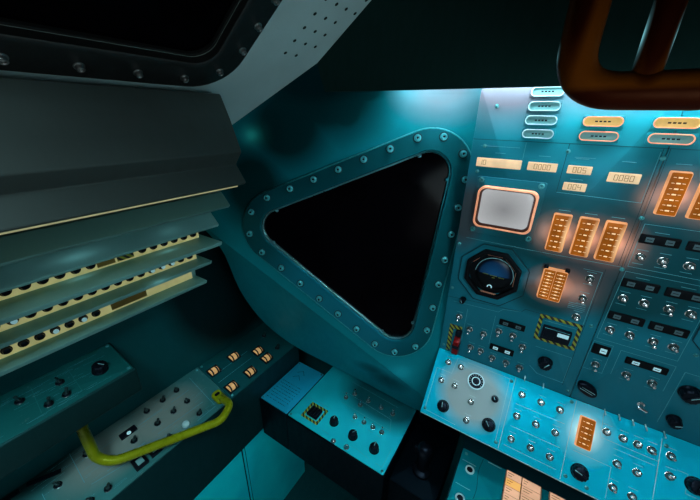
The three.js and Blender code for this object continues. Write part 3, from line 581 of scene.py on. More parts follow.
# Painted shade: the sill's case and the shelf under it are near black, as they lie in shadow under the sill's
# top.
SILL_SHADE_BLACK = painted("sill_case_shade_paint", (0.0004, 0.002, 0.0035), rough=0.5, scuff=0.01, gloss=0.12)
BOX_TEAL = painted("box_paint", (0.001, 0.013, 0.014), rough=0.5, scuff=0.04)
CENTRE_PAINT = painted("centre_top_paint", (0.002, 0.230, 0.290), rough=0.42, scuff=0.06, sheen=0.0)
BOX_FACE = painted("box_face_paint", (0.004, 0.088, 0.090), rough=0.5, scuff=0.45)
SLATE = painted("hood_paint", (0.052, 0.074, 0.071), rough=0.55, scuff=0.06)
LEDGE = painted("ledge_paint", (0.160, 0.400, 0.390), rough=0.45, scuff=0.10)
LINING = painted("ceiling_lining_paint", (0.42, 0.64, 0.66), rough=0.6, cloud=0.1, scuff=0.1)
# Painted shade: the hull in the corner behind the window facets is near black, where it lies in shadow.
CORNER_SHADE_BLACK = painted("black_paint", (0.004, 0.006, 0.007), rough=0.6, scuff=0.02)
OVERHEAD = painted("dark_overhead_paint", (0.003, 0.013, 0.012), rough=0.75, scuff=0.01, gloss=0.3)
BLACK_FITTING = painted("black_fitting", (0.002, 0.0035, 0.006), rough=0.36, scuff=0.04, gloss=0.25)
RING_BLACK = painted("black_ring_paint", (0.010, 0.012, 0.012), rough=0.45, scuff=0.04)
FLAG_BLACK = painted("flag_box_paint", (0.003, 0.004, 0.005), rough=0.6, scuff=0.02, gloss=0.12)
OUTER_PRIMER = painted("outer_primer", (0.30, 0.38, 0.34), rough=0.55, cloud=0.2, scuff=0.35)
WORN_LINE = painted("worn_line_paint", (0.012, 0.140, 0.145), rough=0.6, scuff=0.05)
SEAM_DARK = painted("seam_paint", (0.004, 0.020, 0.026), rough=0.6, scuff=0.02)
LINE_PALE = painted("faint_line_paint", (0.090, 0.370, 0.440), rough=0.6, scuff=0.05)
LINE_WHITE = painted("white_line_paint", (0.42, 0.72, 0.76), rough=0.6, scuff=0.05)
RAIL_ORANGE = painted("orange_rail_enamel", (0.075, 0.018, 0.0012), rough=0.42, scuff=0.01, gloss=0.08)
SIDE_CASE = painted("side_case_paint", (0.0015, 0.024, 0.028), rough=0.5, scuff=0.04)
RAIL_GREEN = painted("yellow_green_enamel", (0.20, 0.26, 0.005), rough=0.30, scuff=0.06)
# Painted highlights: peach lines along edges of the attitude rims, for warm light on them.
PEACH_HIGHLIGHT = painted("peach_highlight_paint", (0.62, 0.26, 0.17), rough=0.4, scuff=0.05)
OLIVE_MARK = painted("olive_mark_paint", (0.16, 0.20, 0.05), rough=0.5, scuff=0.05)
COPPER = painted("copper_enamel", (0.62, 0.30, 0.18), rough=0.28, metal=0.35)
BROWN_CARD = painted("brown_card_paint", (0.26, 0.18, 0.05), rough=0.6, scuff=0.1)
RED = painted("red_guard_enamel", (0.13, 0.005, 0.006), rough=0.3)
WHITE_LINE = painted("engraved_white", (0.30, 0.62, 0.68), rough=0.6, scuff=0.05)
NUT_DARK = painted("dark_nickel_fitting", (0.050, 0.095, 0.100), rough=0.34, scuff=0.25, metal=0.7)
DECK_PAINT = painted("deck_paint", (0.0015, 0.040, 0.046), rough=0.55, cloud=0.3, scuff=0.15)
print("painted finishes:", len(bpy.data.materials))

# %% [markdown]
# Bare metal, dark glass and lit windows have recipes of their own. Metal is brushed:
# noise stretched along one way changes its roughness. The window panes are nearly black,
# as a coated pane looks from inside at night. A lit window is a plastic that glows, a
# little brighter in some places than in others.


# %% Metal, glass and lit windows
def metal(name, color, rough):
    """Brushed metal: the brushing changes its tint a little, and its roughness."""
    material, tree, main, coordinates = shader(name, {"Metallic": 1.0})
    brushed = noise(tree, coordinates, 240.0, 3.0, 0.6, (0.3, 1.0, 1.0))
    tint = np.array(color, float)
    tree.links.new(ramp(tree, brushed, [(0.3, tint * 0.82), (0.7, tint)]), main.inputs["Base Color"])
    tree.links.new(ramp(tree, brushed, [(0.3, rough + 0.12), (0.7, rough)]), main.inputs["Roughness"])
    return material


def dark_glass(name, color, rough, gloss):
    """A coated pane: a soft haze changes its colour and its roughness."""
    material, tree, main, coordinates = shader(name, {"Specular IOR Level": gloss})
    haze = noise(tree, coordinates, 9.0, 3.0)
    tint = np.array(color, float)
    tree.links.new(ramp(tree, haze, [(0.35, tint * 0.7), (0.75, tint * 1.5)]), main.inputs["Base Color"])
    tree.links.new(ramp(tree, haze, [(0.3, rough), (0.8, rough + 0.10)]), main.inputs["Roughness"])
    return material


def lit(name, color, glow, strength, spread=0.35, gloss=0.2):
    """A glowing plastic: its glow runs from glow * (1 - spread) to glow over soft clouds."""
    material, tree, main, coordinates = shader(name, {
        "Emission Strength": strength,
        "Base Color": (*color, 1),
        "Roughness": 0.4,
        "Specular IOR Level": gloss,
    })
    glow = np.array(glow, float)
    bright = ramp(tree, noise(tree, coordinates, 45.0, 2.0), [(0.30, glow * (1 - spread)), (0.70, glow)])
    tree.links.new(bright, main.inputs["Emission Color"])
    return material


def round_gradient(tree, coordinates, centre, reach):
    """1 at a point of the section and 0 at the reach from it, which may differ along X, Y and Z."""
    centre, reach = np.array(centre, float), np.array(reach, float)
    mapping = tree.nodes.new("ShaderNodeMapping")
    mapping.inputs["Scale"].default_value = tuple(1 / reach)
    mapping.inputs["Location"].default_value = tuple(-centre / reach)
    tree.links.new(coordinates, mapping.inputs["Vector"])
    gradient = tree.nodes.new("ShaderNodeTexGradient")
    gradient.gradient_type = "SPHERICAL"
    tree.links.new(mapping.outputs["Vector"], gradient.inputs["Vector"])
    return gradient.outputs["Fac"]


def screen_phosphor(side, x, y):
    """A tube face: darker grey in its middle and paler towards its edge."""
    material, tree, main, coordinates = shader(f"screen_phosphor_{side}", {
        "Emission Strength": 0.85,
        "Base Color": (0.10, 0.10, 0.11, 1),
        "Roughness": 0.25,
    })
    middle = round_gradient(tree, coordinates, MAIN.world([x, y, 12]), (0.062, 0.2, 0.050))
    glow = ramp(tree, middle, [(0.0, (0.50, 0.51, 0.52)), (1.0, (0.22, 0.22, 0.22))])
    grain = ramp(tree, noise(tree, coordinates, 300.0, 2.0), [(0.3, 0.0), (0.7, 0.06)])
    tree.links.new(mixed(tree, grain, glow, (0.1, 0.1, 0.1)), main.inputs["Emission Color"])
    return material


def ball_sky(side, x, y):
    """The upper half of an attitude ball: blue in its middle, black from a radius of 29 on."""
    material, tree, main, coordinates = shader(f"ball_sky_{side}", {
        "Emission Strength": 0.8,
        "Roughness": 0.3,
        "Specular IOR Level": 0.2,
    })
    # Painted light and painted shade: the sky half glows, brightest in its middle and dark towards its rim.
    middle = round_gradient(tree, coordinates, MAIN.world([x, y, 8]), (0.040, 0.2, 0.040))
    sky_stops = [(0.20, (0.0, 0.001, 0.003)), (0.32, (0.001, 0.020, 0.060)), (0.85, (0.002, 0.048, 0.130))]
    tree.links.new(ramp(tree, middle, sky_stops), main.inputs["Emission Color"])
    grain_stops = [(0.3, (0.001, 0.003, 0.008)), (0.7, (0.002, 0.005, 0.012))]
    grain = ramp(tree, noise(tree, coordinates, 200.0, 2.0), grain_stops)
    tree.links.new(grain, main.inputs["Base Color"])
    return material


CHROME = metal("chrome_plating", (0.78, 0.84, 0.86), 0.18)
DARK_CHROME = metal("dark_chrome_plating", (0.10, 0.17, 0.18), 0.24)
STEEL = painted("bolt_fitting", (0.060, 0.300, 0.330), rough=0.30, scuff=0.3, metal=0.45)
BOLT_METAL = painted("window_bolt_fitting", (0.060, 0.420, 0.480), rough=0.26, scuff=0.4, metal=0.25)
BRIGHT_STEEL = metal("bright_bolt_steel", (0.46, 0.50, 0.50), 0.30)
BEAD_METAL = metal("bead_metal", (0.25, 0.62, 0.70), 0.25)
PANE = dark_glass("dark_pane", (0.0008, 0.0008, 0.0016), 0.10, 0.03)
AMBER = lit("amber_lamp", (0.05, 0.015, 0.003), (0.40, 0.105, 0.006), 1.0, spread=0.5, gloss=0.05)
AMBER_FLANK = lit("amber_lamp_flank", (0.10, 0.05, 0.03), (0.95, 0.42, 0.17), 1.0, spread=0.4, gloss=0.05)
AMBER_MARK = lit("amber_lamp_mark", (0.40, 0.30, 0.18), (0.95, 0.66, 0.34), 1.0, spread=0.15)
READOUT = lit("readout_glow", (0.22, 0.16, 0.10), (0.78, 0.58, 0.34), 1.0, spread=0.25)
READOUT_MARK = painted("readout_digit_paint", (0.30, 0.14, 0.04), rough=0.5)
PALE = painted("pale_window_paint", (0.170, 0.420, 0.440), rough=0.35, scuff=0.05)
OVAL_LIT = lit("lit_window_glow", (0.25, 0.20, 0.08), (0.66, 0.44, 0.13), 1.0)
FLAG_GREY = painted("flag_grey_paint", (0.070, 0.130, 0.150), rough=0.35, scuff=0.05)
# Painted light: a white that glows on parts that are no lamps: the white flag windows, the side flag, the
# hazard module's window, the dial's rings, the attitude hook and the pale breaker caps.
WHITE_PAINTED_GLOW = lit("white_painted_glow", (0.50, 0.70, 0.75), (0.30, 0.62, 0.72), 0.45)
DARK_COPPER = painted("dark_copper_enamel", (0.055, 0.016, 0.008), rough=0.3, metal=0.2)
# Painted light: the legend cards and their yellow cells glow, though they are no lamps.
CARD = lit("legend_card_glow", (0.30, 0.20, 0.13), (0.76, 0.43, 0.27), 0.95, spread=0.2)
CARD_YELLOW = lit("legend_cell_glow", (0.35, 0.22, 0.08), (0.95, 0.48, 0.13), 0.95, spread=0.2)
DRUM = lit("drum_glow", (0.26, 0.18, 0.08), (0.66, 0.40, 0.16), 0.7)
TUBE_LIGHT = lit("lamp_tube", (0.8, 0.9, 0.95), (0.86, 0.93, 1.0), 56.0)
STRIP_LIGHT = lit("strip_light", (0.30, 0.30, 0.18), (0.60, 0.60, 0.30), 0.5)
# Painted light: the display bezels and the warm rims of the caution windows glow, though they are no lamps.
BEZEL = lit("bezel_glow", (0.70, 0.34, 0.20), (0.70, 0.26, 0.14), 0.8)
# Painted light: the cream breaker bars glow, though they are no lamps.
CREAM = lit("cream_bar_glow", (0.62, 0.56, 0.28), (0.26, 0.25, 0.105), 1.0)
print("finishes:", len(bpy.data.materials))

# %% [markdown]
# A cabin has small lamps and dark corners that a few studio lamps can't give, so the paints
# themselves carry some of that light. Where a lamp bank stands, the panel takes a warm
# shine, strongest beside the lamp; behind the hood and under the overhead the paint gets
# darker. Each shine or shade is a set of soft round spots on the object coordinates, and
# where spots overlap, the strongest wins. The spots keep their place on the section, so
# they look the same from every side.


# %% Soft spots in the finishes
def spot_factor(tree, spots):
    """1 in the middle of a spot (centre, reach) and 0 outside: the largest factor of all the spots."""
    coordinates = tree.nodes.new("ShaderNodeTexCoord").outputs["Object"]
    best = None
    for centre, reach in spots:
        factor = round_gradient(tree, coordinates, centre, reach)
        if best is not None:
            node = tree.nodes.new("ShaderNodeMath")
            node.operation = "MAXIMUM"
            tree.links.new(best, node.inputs[0])
            tree.links.new(factor, node.inputs[1])
            factor = node.outputs[0]
        best = factor
    return best


def blended(material, spots, color, stops, socket="Base Color"):
    """Blends a finish into another colour. The stops turn a spot's factor into the share of it."""
    tree = material.node_tree
    target = tree.nodes["Principled BSDF"].inputs[socket]
    base = target.links[0].from_socket
    tree.links.new(mixed(tree, ramp(tree, spot_factor(tree, spots), stops), base, color), target)


def shone_on(material, groups):
    """Adds painted light to a finish: soft shines that glow. Each group has its spots and its colour."""
    tree = material.node_tree
    total = None
    for spots, shine in groups:
        color = np.array(shine, float)
        stops = [(0.0, (0, 0, 0)), (0.40, color * 0.08), (0.66, color * 0.35), (0.90, color)]
        glow = ramp(tree, spot_factor(tree, spots), stops)
        total = glow if total is None else mixed(tree, 1.0, total, glow, "ADD")
    main = tree.nodes["Principled BSDF"]
    tree.links.new(total, main.inputs["Emission Color"])
    main.inputs["Emission Strength"].default_value = 1.0


def spots_on(place, table):
    """Spots (centre, reach) in metres, from rows in millimetres of a panel's frame.

    A row is x and y, or x, y and z, then the three reaches along X, Y and Z of the section.
    """
    return [(place.world([*row[:-3], 0][:3]), np.array(row[-3:]) * MM) for row in table]


# %% Painted light: shines beside the lamps and on the facet, the ledges and the overhead rail
BANKS_CENTRE = [(23, 53, -237, -162), (64, 94, -237, -162), (103, 133, -237, -162)]
BANKS_RIGHT = [(159, 186, -141, -70), (198, 225, -141, -70)]
BANK_DOUBLE = (32, 74, -342, -273)
BANK_LOWER = (171, 199, -90, -27)
bank_sides = [(x1 - 1, (y0 + y1) / 2 - 2, 8, 9, 40, (y1 - y0) / 1.5) for x0, x1, y0, y1 in BANKS_CENTRE]
blended(AMBER, spots_on(MAIN, bank_sides), (0.98, 0.60, 0.30), [(0.05, 0.0), (0.8, 1.0)], "Emission Color")
# Each shine is painted light that glows: warm lamp light beside the banks and wider on the main panel, the
# lower bank's glow, two pools of light on the window facet, streaks of highlight on the ledges, and a golden
# glint and cyan rim highlights on the overhead rail.
beside_banks = [((x0 + x1) / 2 + 5, (y0 + y1) / 2 - 3, (x1 - x0) / 2 + 40, 70, (y1 - y0) / 2 + 16)
                for x0, x1, y0, y1 in BANKS_CENTRE + BANKS_RIGHT + [BANK_DOUBLE]]
BROAD_SHINES = [(144, -212, 62, 80, 66), (98, -312, 60, 80, 62), (146, -116, 44, 80, 62),
                (12, -200, 30, 80, 60), (240, -120, 60, 80, 70)]
LEDGE_SHINES = [(-640, 325, -222, 28, 60, 30), (-682, 330, -284, 28, 70, 30), (-690, 171, -284, 28, 60, 30),
                (-645, 165, -226, 28, 90, 30), (-690, 300, -349, 28, 50, 30)]
RAIL_SHINES = [(-24, 478, 60, 4, 20, 22), (48, 478, 80, 3.5, 20, 32), (74, 478, 76, 3, 20, 28)]
SHINES = [
    (MAIN_FACE, MAIN, [(beside_banks, (1.05, 0.40, 0.21)), (BROAD_SHINES, (0.18, 0.105, 0.080))]),
    (TEAL_PANEL, LOWER, [([(185, -58.5, 58, 70, 68)], (0.88, 0.78, 0.62))]),
    (TEAL_FACET, WINDOW, [([(-298, 256, 60, 60, 50)], (0.004, 0.075, 0.068)),
                          ([(118, -362, 90, 90, 70)], (0.002, 0.060, 0.080))]),
    (LEDGE, CABIN, [(LEDGE_SHINES, (0.040, 0.130, 0.135))]),
    (RAIL_ORANGE, CABIN, [([(80, 482, 10, 160, 12, 4)], (0.13, 0.10, 0.02)),
                          (RAIL_SHINES, (0.16, 0.46, 0.52))]),
]
for finish, place, groups in SHINES:
    shone_on(finish, [(spots_on(place, rows), color) for rows, color in groups])
print("finishes with a shine:", len(SHINES))

# %% Painted shade, painted light and two worn patches: finish, frame, spots, colour, strength, and the factor at which it is reached
SHADE_LIGHT_AND_WEAR = [
    # Painted light: the top of the main panel brighter, under the cove lamp.
    (MAIN_FACE, MAIN, [(150, 30, 520, 100, 120)], (0.010, 0.300, 0.370), 0.9, 0.6),
    # Painted light: pale patches at the top left of the main panel, under the cove lamp.
    (MAIN_FACE, MAIN, [(-95, 62, 150, 100, 95), (40, 70, 150, 100, 75)], (0.095, 0.085, 0.105), 0.95, 0.6),
    # Painted shade: the middle of the main panel darker.
    (MAIN_FACE, MAIN, [(60, -200, 210, 100, 125), (230, -150, 190, 100, 150), (160, -270, 160, 100, 110),
                       (45, -345, 80, 100, 50)], (0.003, 0.040, 0.046), 0.92, 0.45),
    # Painted shade: greyer and darker left of the left display and beside the lamp banks.
    (MAIN_FACE, MAIN, [(-135, -195, 46, 100, 95), (100, -250, 60, 100, 120)],
     (0.055, 0.055, 0.062), 0.9, 0.5),
    (TEAL_PANEL, LOWER, [(-42, -78, 92, 110, 80)], (0.42, 0.50, 0.49), 0.9, 0.4),
    # Painted shade: the side wall nearly black in its corner by the window facet.
    (TEAL_SHELL, CABIN, [(-785, 560, -430, 250, 250, 340)], (0.0003, 0.0004, 0.0005), 1.0, 0.25),
    # The sill's top darker towards its back.
    (SILL_FACE_PAINT, SILL, [(-290, 690, 170, 110, 100)], (0.004, 0.040, 0.046), 0.85, 0.45),
    # Painted shade: the window facet darker above and left of the window, and nearly black under the lining
    # and the soffit.
    (TEAL_FACET, WINDOW, [(-66, 320, 75, 75, 75), (-110, 345, 190, 190, 125), (-205, 280, 140, 140, 140),
                          (-300, 130, 120, 120, 140), (-30, 360, 90, 90, 50)],
     (0.0004, 0.017, 0.019), 0.97, 0.55),
    (TEAL_FACET, WINDOW, [(-150, 385, 170, 170, 62), (-60, 395, 110, 110, 45)],
     (0.0002, 0.004, 0.006), 0.95, 0.5),
    # Painted shade: a dark patch low on the window facet.
    (TEAL_FACET, WINDOW, [(75, -425, 85, 85, 60), (20, -395, 80, 80, 36)], (0.0005, 0.020, 0.026), 0.85, 0.6),
    # Painted light: a pale patch on the facet under the cove lamp.
    (TEAL_FACET, WINDOW, [(150, 360, 130, 130, 82)], (0.100, 0.095, 0.110), 0.95, 0.7),
    # Painted shade: the hood darker along its lower flap and at its aft end.
    (SLATE, CABIN, [(-530, 200, -110, 60, 600, 70), (-545, -60, -20, 90, 200, 90)],
     (0.020, 0.030, 0.028), 0.75, 0.5),
    # Painted shade: the ledges darker towards their aft end.
    (LEDGE, CABIN, [(-650, -60, -300, 200, 160, 200)], (0.030, 0.085, 0.080), 0.9, 0.6),
    (SIDE_FACE, SIDE, [(-88, 245, 85, 120, 85), (-96, 125, 75, 120, 75)], (0.185, 0.250, 0.230), 0.95, 0.55),
    # Painted shade: the side panel nearly black towards its aft end.
    (SIDE_FACE, SIDE, [(-60, -110, 110, 110, 110), (-160, 10, 60, 95, 60)], (0.002, 0.010, 0.011), 0.95, 0.6),
    # Painted shade: the hood's lower flap darker still.
    (SLATE, CABIN, [(-538, 150, -72, 80, 500, 80)], (0.030, 0.043, 0.041), 0.85, 0.5),
    # Painted shade: the top louvre darker.
    (LEDGE, CABIN, [(-600, 180, -178, 100, 550, 45)], (0.075, 0.185, 0.175), 0.9, 0.5),
    # Painted light: the window ring brighter along its lower left.
    (TEAL_RING, WINDOW, [(-70, -180, 260, 200, 230)], (0.003, 0.125, 0.185), 1.0, 0.45),
    # Painted shade: the bead darker along the window's right side.
    (BEAD_METAL, WINDOW, [(150, 40, 110, 200, 330)], (0.006, 0.060, 0.075), 1.0, 0.4),
    # Painted shade: the ring's highlight band dark on its left and on its lower right.
    (RING_EDGE_HIGHLIGHT, WINDOW, [(-330, 80, 190, 200, 240), (330, -120, 140, 200, 260)],
     (0.002, 0.050, 0.060), 1.0, 0.5),
    # Painted shade: a dark core along the overhead rail, on the side that faces the crew.
    (RAIL_ORANGE, CABIN, [(95, 463, 20, 230, 40, 16), (-10, 463, 175, 15, 40, 150),
                          (61, 467, 130, 17, 30, 130)],
     (0.011, 0.0008, 0.0002), 0.97, 0.4),
    # Painted shade: the side rail's top end darker, under the upper box.
    (RAIL_GREEN, CABIN, [(-694, 92, -600, 30, 30, 60)], (0.040, 0.055, 0.002), 1.0, 0.6),
]
for finish, place, rows, color, strength, hold in SHADE_LIGHT_AND_WEAR:
    blended(finish, spots_on(place, rows), color, [(0.0, 0.0), (hold, strength)])
print("shades:", len(SHADE_LIGHT_AND_WEAR))

# %% [markdown]
# ## The shell
#
# The deck, walls, facets and ceiling of the solid model already have their true shape, so
# they stay and only get their finish. Their outer sides are not seen from the cabin: they
# are a primed pressure shell. A wall that has both sides gets two finishes. On most walls a
# face takes one of them by the side of the wall's middle plane that it lies on, and on two
# of them by the way that it looks.

# %% Finish of the shell
SHELL_FINISH = {
    "side_wall": TEAL_SHELL, "front_wall": TEAL_SHELL, "deck": DECK_PAINT, "window_facet": TEAL_FACET,
    "lower_facet": TEAL_FACET, "corner_hull": CORNER_SHADE_BLACK, "sloped_ceiling": LINING,
    "flat_overhead": OVERHEAD, "soffit": OVERHEAD, "cove_lamp": TUBE_LIGHT, "window_pane": PANE,
    "overhead_window_pane": PANE, "main_housing": SLATE, "lower_housing": TEAL_DEEP,
    "side_console": SIDE_CASE, "side_plinth": TEAL_PLINTH, "hood_light": STRIP_LIGHT,
    "controller_shelf": SILL_SHADE_BLACK,
}
for node_name, finish in SHELL_FINISH.items():
    nodes[node_name].data.materials.clear()
    nodes[node_name].data.materials.append(finish)


def of_faces(node_name, what):
    """The centre or the normal of each face of a node, as an array (faces, 3)."""
    polygons = nodes[node_name].data.polygons
    values = np.zeros(len(polygons) * 3)
    polygons.foreach_get(what, values)
    return values.reshape(-1, 3)


MIDDLE_PLANES = {
    "side_wall": (CABIN, (-1, 0, 0), 785.5), "deck": (CABIN, (0, 0, -1), 1481),
    "flat_overhead": (CABIN, (0, 0, 1), 240.5), "window_facet": (WINDOW, (0, 0, -1), 0.5),
    "sloped_ceiling": (CEILING, (0, 0, 1), 0.5),
}
HULL_LIMIT, WALL_LIMIT = 0.3, -0.5
outer_faces = {
    "corner_hull": of_faces("corner_hull", "normal") @ -WINDOW.axes[:, 2] > HULL_LIMIT,
    "front_wall": of_faces("front_wall", "normal") @ CABIN.axes[:, 1] > WALL_LIMIT,
}
for node_name, (place, out, depth) in MIDDLE_PLANES.items():
    local = ((of_faces(node_name, "center") - EYE) / MM - place.origin) @ place.axes
    outer_faces[node_name] = local @ np.array(out, float) > depth
for node_name, outer in outer_faces.items():
    nodes[node_name].data.materials.append(OUTER_PRIMER)
    nodes[node_name].data.polygons.foreach_set("material_index", outer.astype(int))
print("carried-over nodes painted:", len(SHELL_FINISH), "with two sides:", len(outer_faces))

# %% [markdown]
# ## Screws and bolts
#
# Panels are held by quarter-turn fasteners. The windows are held by socket-head bolts: a
# round head with a hollow for the key, filled by a black hexagon that is painted shade.
# Round the triangular window each bolt stands on a dark washer ring, painted shadow round
# its foot. Each is one turned profile, copied to its places.

# %% Fastener shapes
screw_head = joined([
    turned([(0, 0), (4.4, 0), (4.4, 0.8), (3.8, 1.2), (0, 1.3)], 16),
    turned([(0, 1.2), (2.6, 1.2), (2.6, 2.2), (1.9, 2.8), (0, 3.0)], 12),
])
socket_bolt = turned([(0, 0), (9.5, 0), (9.5, 1.2), (7.0, 1.7), (7.0, 8.2), (6.3, 9.2), (4.2, 9.2),
                      (3.6, 8.6), (3.3, 4.6), (0, 4.5)], 20)
# Painted shade: a black hexagon that fills each bolt's hollow.
socket_shade = turned([(0, 4.4), (3.9, 4.4), (3.9, 8.7), (0, 8.8)], 6)
print("vertices of a socket bolt:", len(socket_bolt.points))

# %% [markdown]
# ## The triangular window
#
# The window is a rounded triangle in a bolted ring: seven bolts along each side and two
# round each corner. The ring is the outline drawn at several distances, with a thin lip at
# the opening. Its outer edge is a thin band of its own in a paler paint, a painted highlight
# where the edge catches the light. Inside the lip a bead holds the pane, with two clips on
# each side.

# %% Window ring, bolts and inner bead
CORNER_TURNS = np.array([52.9, 172.9, 292.9])
CORNER_REACH = 230.0
BOLT_RADIUS, CLIP_RADIUS = 83.0, 45.0
CORNER_BOLT_REACH, CORNER_BOLT_TURN = 309.0, 5.45
RING_TOP = 9.6


def triangle(radius):
    """A triangle whose corners are arcs of the given radius about three fixed centres."""
    return np.vstack([arc(CORNER_REACH * np.cos(np.radians(t)), CORNER_REACH * np.sin(np.radians(t)), radius,
                          t - 60, t + 60, 14) for t in CORNER_TURNS])


def along_sides(radius, offsets, z):
    """Points at offsets along the three sides of triangle(radius), from the middle of each side."""
    out = CORNER_REACH / 2 + radius
    return np.vstack([[(out * np.cos(t) - s * np.sin(t), out * np.sin(t) + s * np.cos(t), z) for s in offsets]
                      for t in np.radians(CORNER_TURNS + 60)])


ring_levels = [(100, 0.3), (100, 7.2), (98.8, 8.9), (96.5, 9.6), (55, 9.6), (53.5, 10.2), (51, 10.2),
               (49.6, 9.2), (49.2, 0.3)]
edge_levels = [(99.6, 7.9), (98.8, 9.3), (96.9, 10.0), (96.4, 9.9), (96.4, 8.0)]
bead_levels = [(48.9, -9), (48.9, -1), (48.2, -0.2), (46.6, -0.2), (45.8, -1), (45.8, -9)]
piece("window_ring_band", band(triangle, ring_levels), WINDOW, TEAL_RING, ["window_ring"])
piece("window_ring_edge", band(triangle, edge_levels), WINDOW, RING_EDGE_HIGHLIGHT)
piece("window_bead", band(triangle, bead_levels), WINDOW, BEAD_METAL)

corner_bolts = [(CORNER_BOLT_REACH * np.cos(t), CORNER_BOLT_REACH * np.sin(t), RING_TOP) for c in CORNER_TURNS
                for t in np.radians((c - CORNER_BOLT_TURN, c + CORNER_BOLT_TURN))]
bolt_places = np.vstack([along_sides(BOLT_RADIUS, np.linspace(-197, 197, 7), RING_TOP), corner_bolts])
# Painted shade: a dark washer ring round each bolt's foot, for the shadow round it.
bolt_shadow_washer = turned([(0, 0), (10.6, 0), (10.6, 0.6), (10.0, 0.9), (0, 0.9)], 20)
piece("window_bolt_shadow_washers", bolt_shadow_washer.copies(bolt_places), WINDOW, SEAM_DARK)
on_shadow_washers = bolt_places + [0, 0, 0.5]
piece("window_bolts", socket_bolt.copies(on_shadow_washers, np.eye(3) * 0.86), WINDOW, BOLT_METAL)
piece("window_bolt_socket_shades", socket_shade.copies(on_shadow_washers, np.diag([0.66, 0.66, 0.86])), WINDOW, FLAG_BLACK)
clips = along_sides(CLIP_RADIUS, (-190, 190), -2)
piece("window_bead_clips", socket_bolt.copies(clips, np.eye(3) * 0.5), WINDOW, BEAD_METAL)

# %% [markdown]
# ## The overhead window and the ceiling
#
# The docking window overhead is a rounded rectangle in a black ring with a bolt every hand's
# breadth. It hangs under the sloped ceiling, so its frame's z points out of the cabin and
# the ring is built downwards. Next to it the lining has slanted rows of small holes, each
# with a turned-in rim. Each hole is a dark disc, painted shade, not an opening.

# %% Overhead window ring, its bolts and the lining's holes
LOW, HIGH, AFT_END, FORE_END = -10.0, 288.0, -60.0, 450.0


def overhead_outline(inset):
    """The ring's outline, drawn clockwise because it is seen from below."""
    outline = round_rectangle((LOW + HIGH) / 2, (AFT_END + FORE_END) / 2, HIGH - LOW - 2 * inset,
                              FORE_END - AFT_END - 2 * inset, max(80 - inset, 36), 10)
    return outline[::-1]


ring_levels = [(0, -0.3), (0, -9.5), (1.5, -12), (4, -12.8), (44, -12.8), (46, -13.6), (54, -13.6), (56, -12),
               (56, -0.3)]
seal_levels = [(57, -0.3), (57, 5), (61, 5), (61, -0.3)]
piece("overhead_ring_band", band(overhead_outline, ring_levels), CEILING, RING_BLACK,
      ["overhead_window_ring"])
piece("overhead_seal", band(overhead_outline, seal_levels), CEILING, RING_BLACK)
FLIP = np.diag([1.0, -1.0, -1.0])
side_runs = [(s, y) for s in (13, 265) for y in np.arange(-9, 360, 73.5)]
end_runs = [(s, y) for y in (434, -44) for s in (91.6, 143.0, 193.8)]
corner_runs = [(s, y) for y in (415, -28) for s in (37.7, 240.3)]
overhead_bolts = [(s, y, -12.8) for s, y in side_runs + end_runs + corner_runs]
piece("overhead_bolts", socket_bolt.copies(overhead_bolts, FLIP * 0.72), CEILING, BRIGHT_STEEL)

ROW_LENGTHS = (2, 3, 3, 3, 4, 5)
holes = [(96 + 31.2 * k, 545 + 32 * j, -0.1) for k, count in enumerate(ROW_LENGTHS) for j in range(count)]
hole_rim = turned([(0, 0.4), (5.0, 0.0), (5.0, 0.5), (4.2, 0.9), (0, 0.5)], 14)
piece("lining_hole_rims", hole_rim.copies(holes, FLIP), CEILING, LINING)
# Painted shade: each hole is a dark disc in the lining, not an opening.
hole_shade = turned([(0, 0.5), (3.8, 0.5), (3.7, 0.95), (0, 0.95)], 12)
piece("lining_hole_shades", hole_shade.copies(holes, FLIP), CEILING, OVERHEAD)
print("holes in the lining:", len(holes))

# %% [markdown]
# ## The main panel
#
# The main panel is two sheets with a seam between them. All its switches are the same few
# parts: a bat-handle toggle in a hexagon nut, a fluted knob with a pointer, and a flag
# window. The tables give the height of each row and the places along it.

# %% Toggle switches, knobs and flag windows
LEAN, BAT_FOOT = 14.0, 5.5
KNOB_TOP = 17.0
FLAG_TOP = 4.0
nut_levels = ((0, 0.8), (0, 3.6), (0.9, 4.6))
nut = stacked([at_height(polygon(0, 0, 6.4 - inset, 6, 0.6, 2), z) for inset, z in nut_levels])
washer = turned([(0, 0), (7.6, 0), (7.6, 0.7), (7.0, 1.1), (0, 1.1)], 20)
collar = turned([(0, 4), (4.1, 4), (4.1, 6.4), (3.3, 7.6), (0, 7.8)], 14)
bat = turned([(0, 0), (1.7, 0), (1.9, 4), (2.9, 10.0), (3.1, 11.6), (2.5, 13.2), (0, 13.8)], 12)


def toggles(rows):
    """Plated bats and their nuts, from rows (y, places along x). A bat leans up or down by one angle."""
    places = np.array([(x, y, 0) for y, spots in rows for x in spots], float)
    leans = rng.choice([-LEAN, LEAN], len(places))
    bats = [bat.moved(place + [0, 0, BAT_FOOT], turn(x=angle)) for place, angle in zip(places, leans)]
    return joined(bats + [collar.copies(places), washer.copies(places)]), nut.copies(places)


def knob(radius):
    """A skirted knob: a fluted body nearly as wide as its skirt, and the pointer line on its top."""
    top = KNOB_TOP
    skirt = turned([(0, 0), (radius, 0), (radius, 2.5), (radius * 0.95, 4), (radius * 0.9, 4.6), (0, 4.6)],
                   36)
    grip = turned([(0, 4), (radius * 0.9, 4), (radius * 0.84, top - 2.5), (radius * 0.76, top - 0.6),
                   (radius * 0.66, top), (0, top)], 60, 0.045, 12)
    bar = cut_boxes([-radius * 0.16, -radius * 0.62, top - 0.5], [radius * 0.16, radius * 0.80, top + 2.2],
                    0.9)
    pointer = cut_boxes([-0.7, -radius * 0.1, top + 1.9], [0.7, radius * 0.78, top + 2.6], 0.3)
    return joined([skirt, grip, bar]), pointer


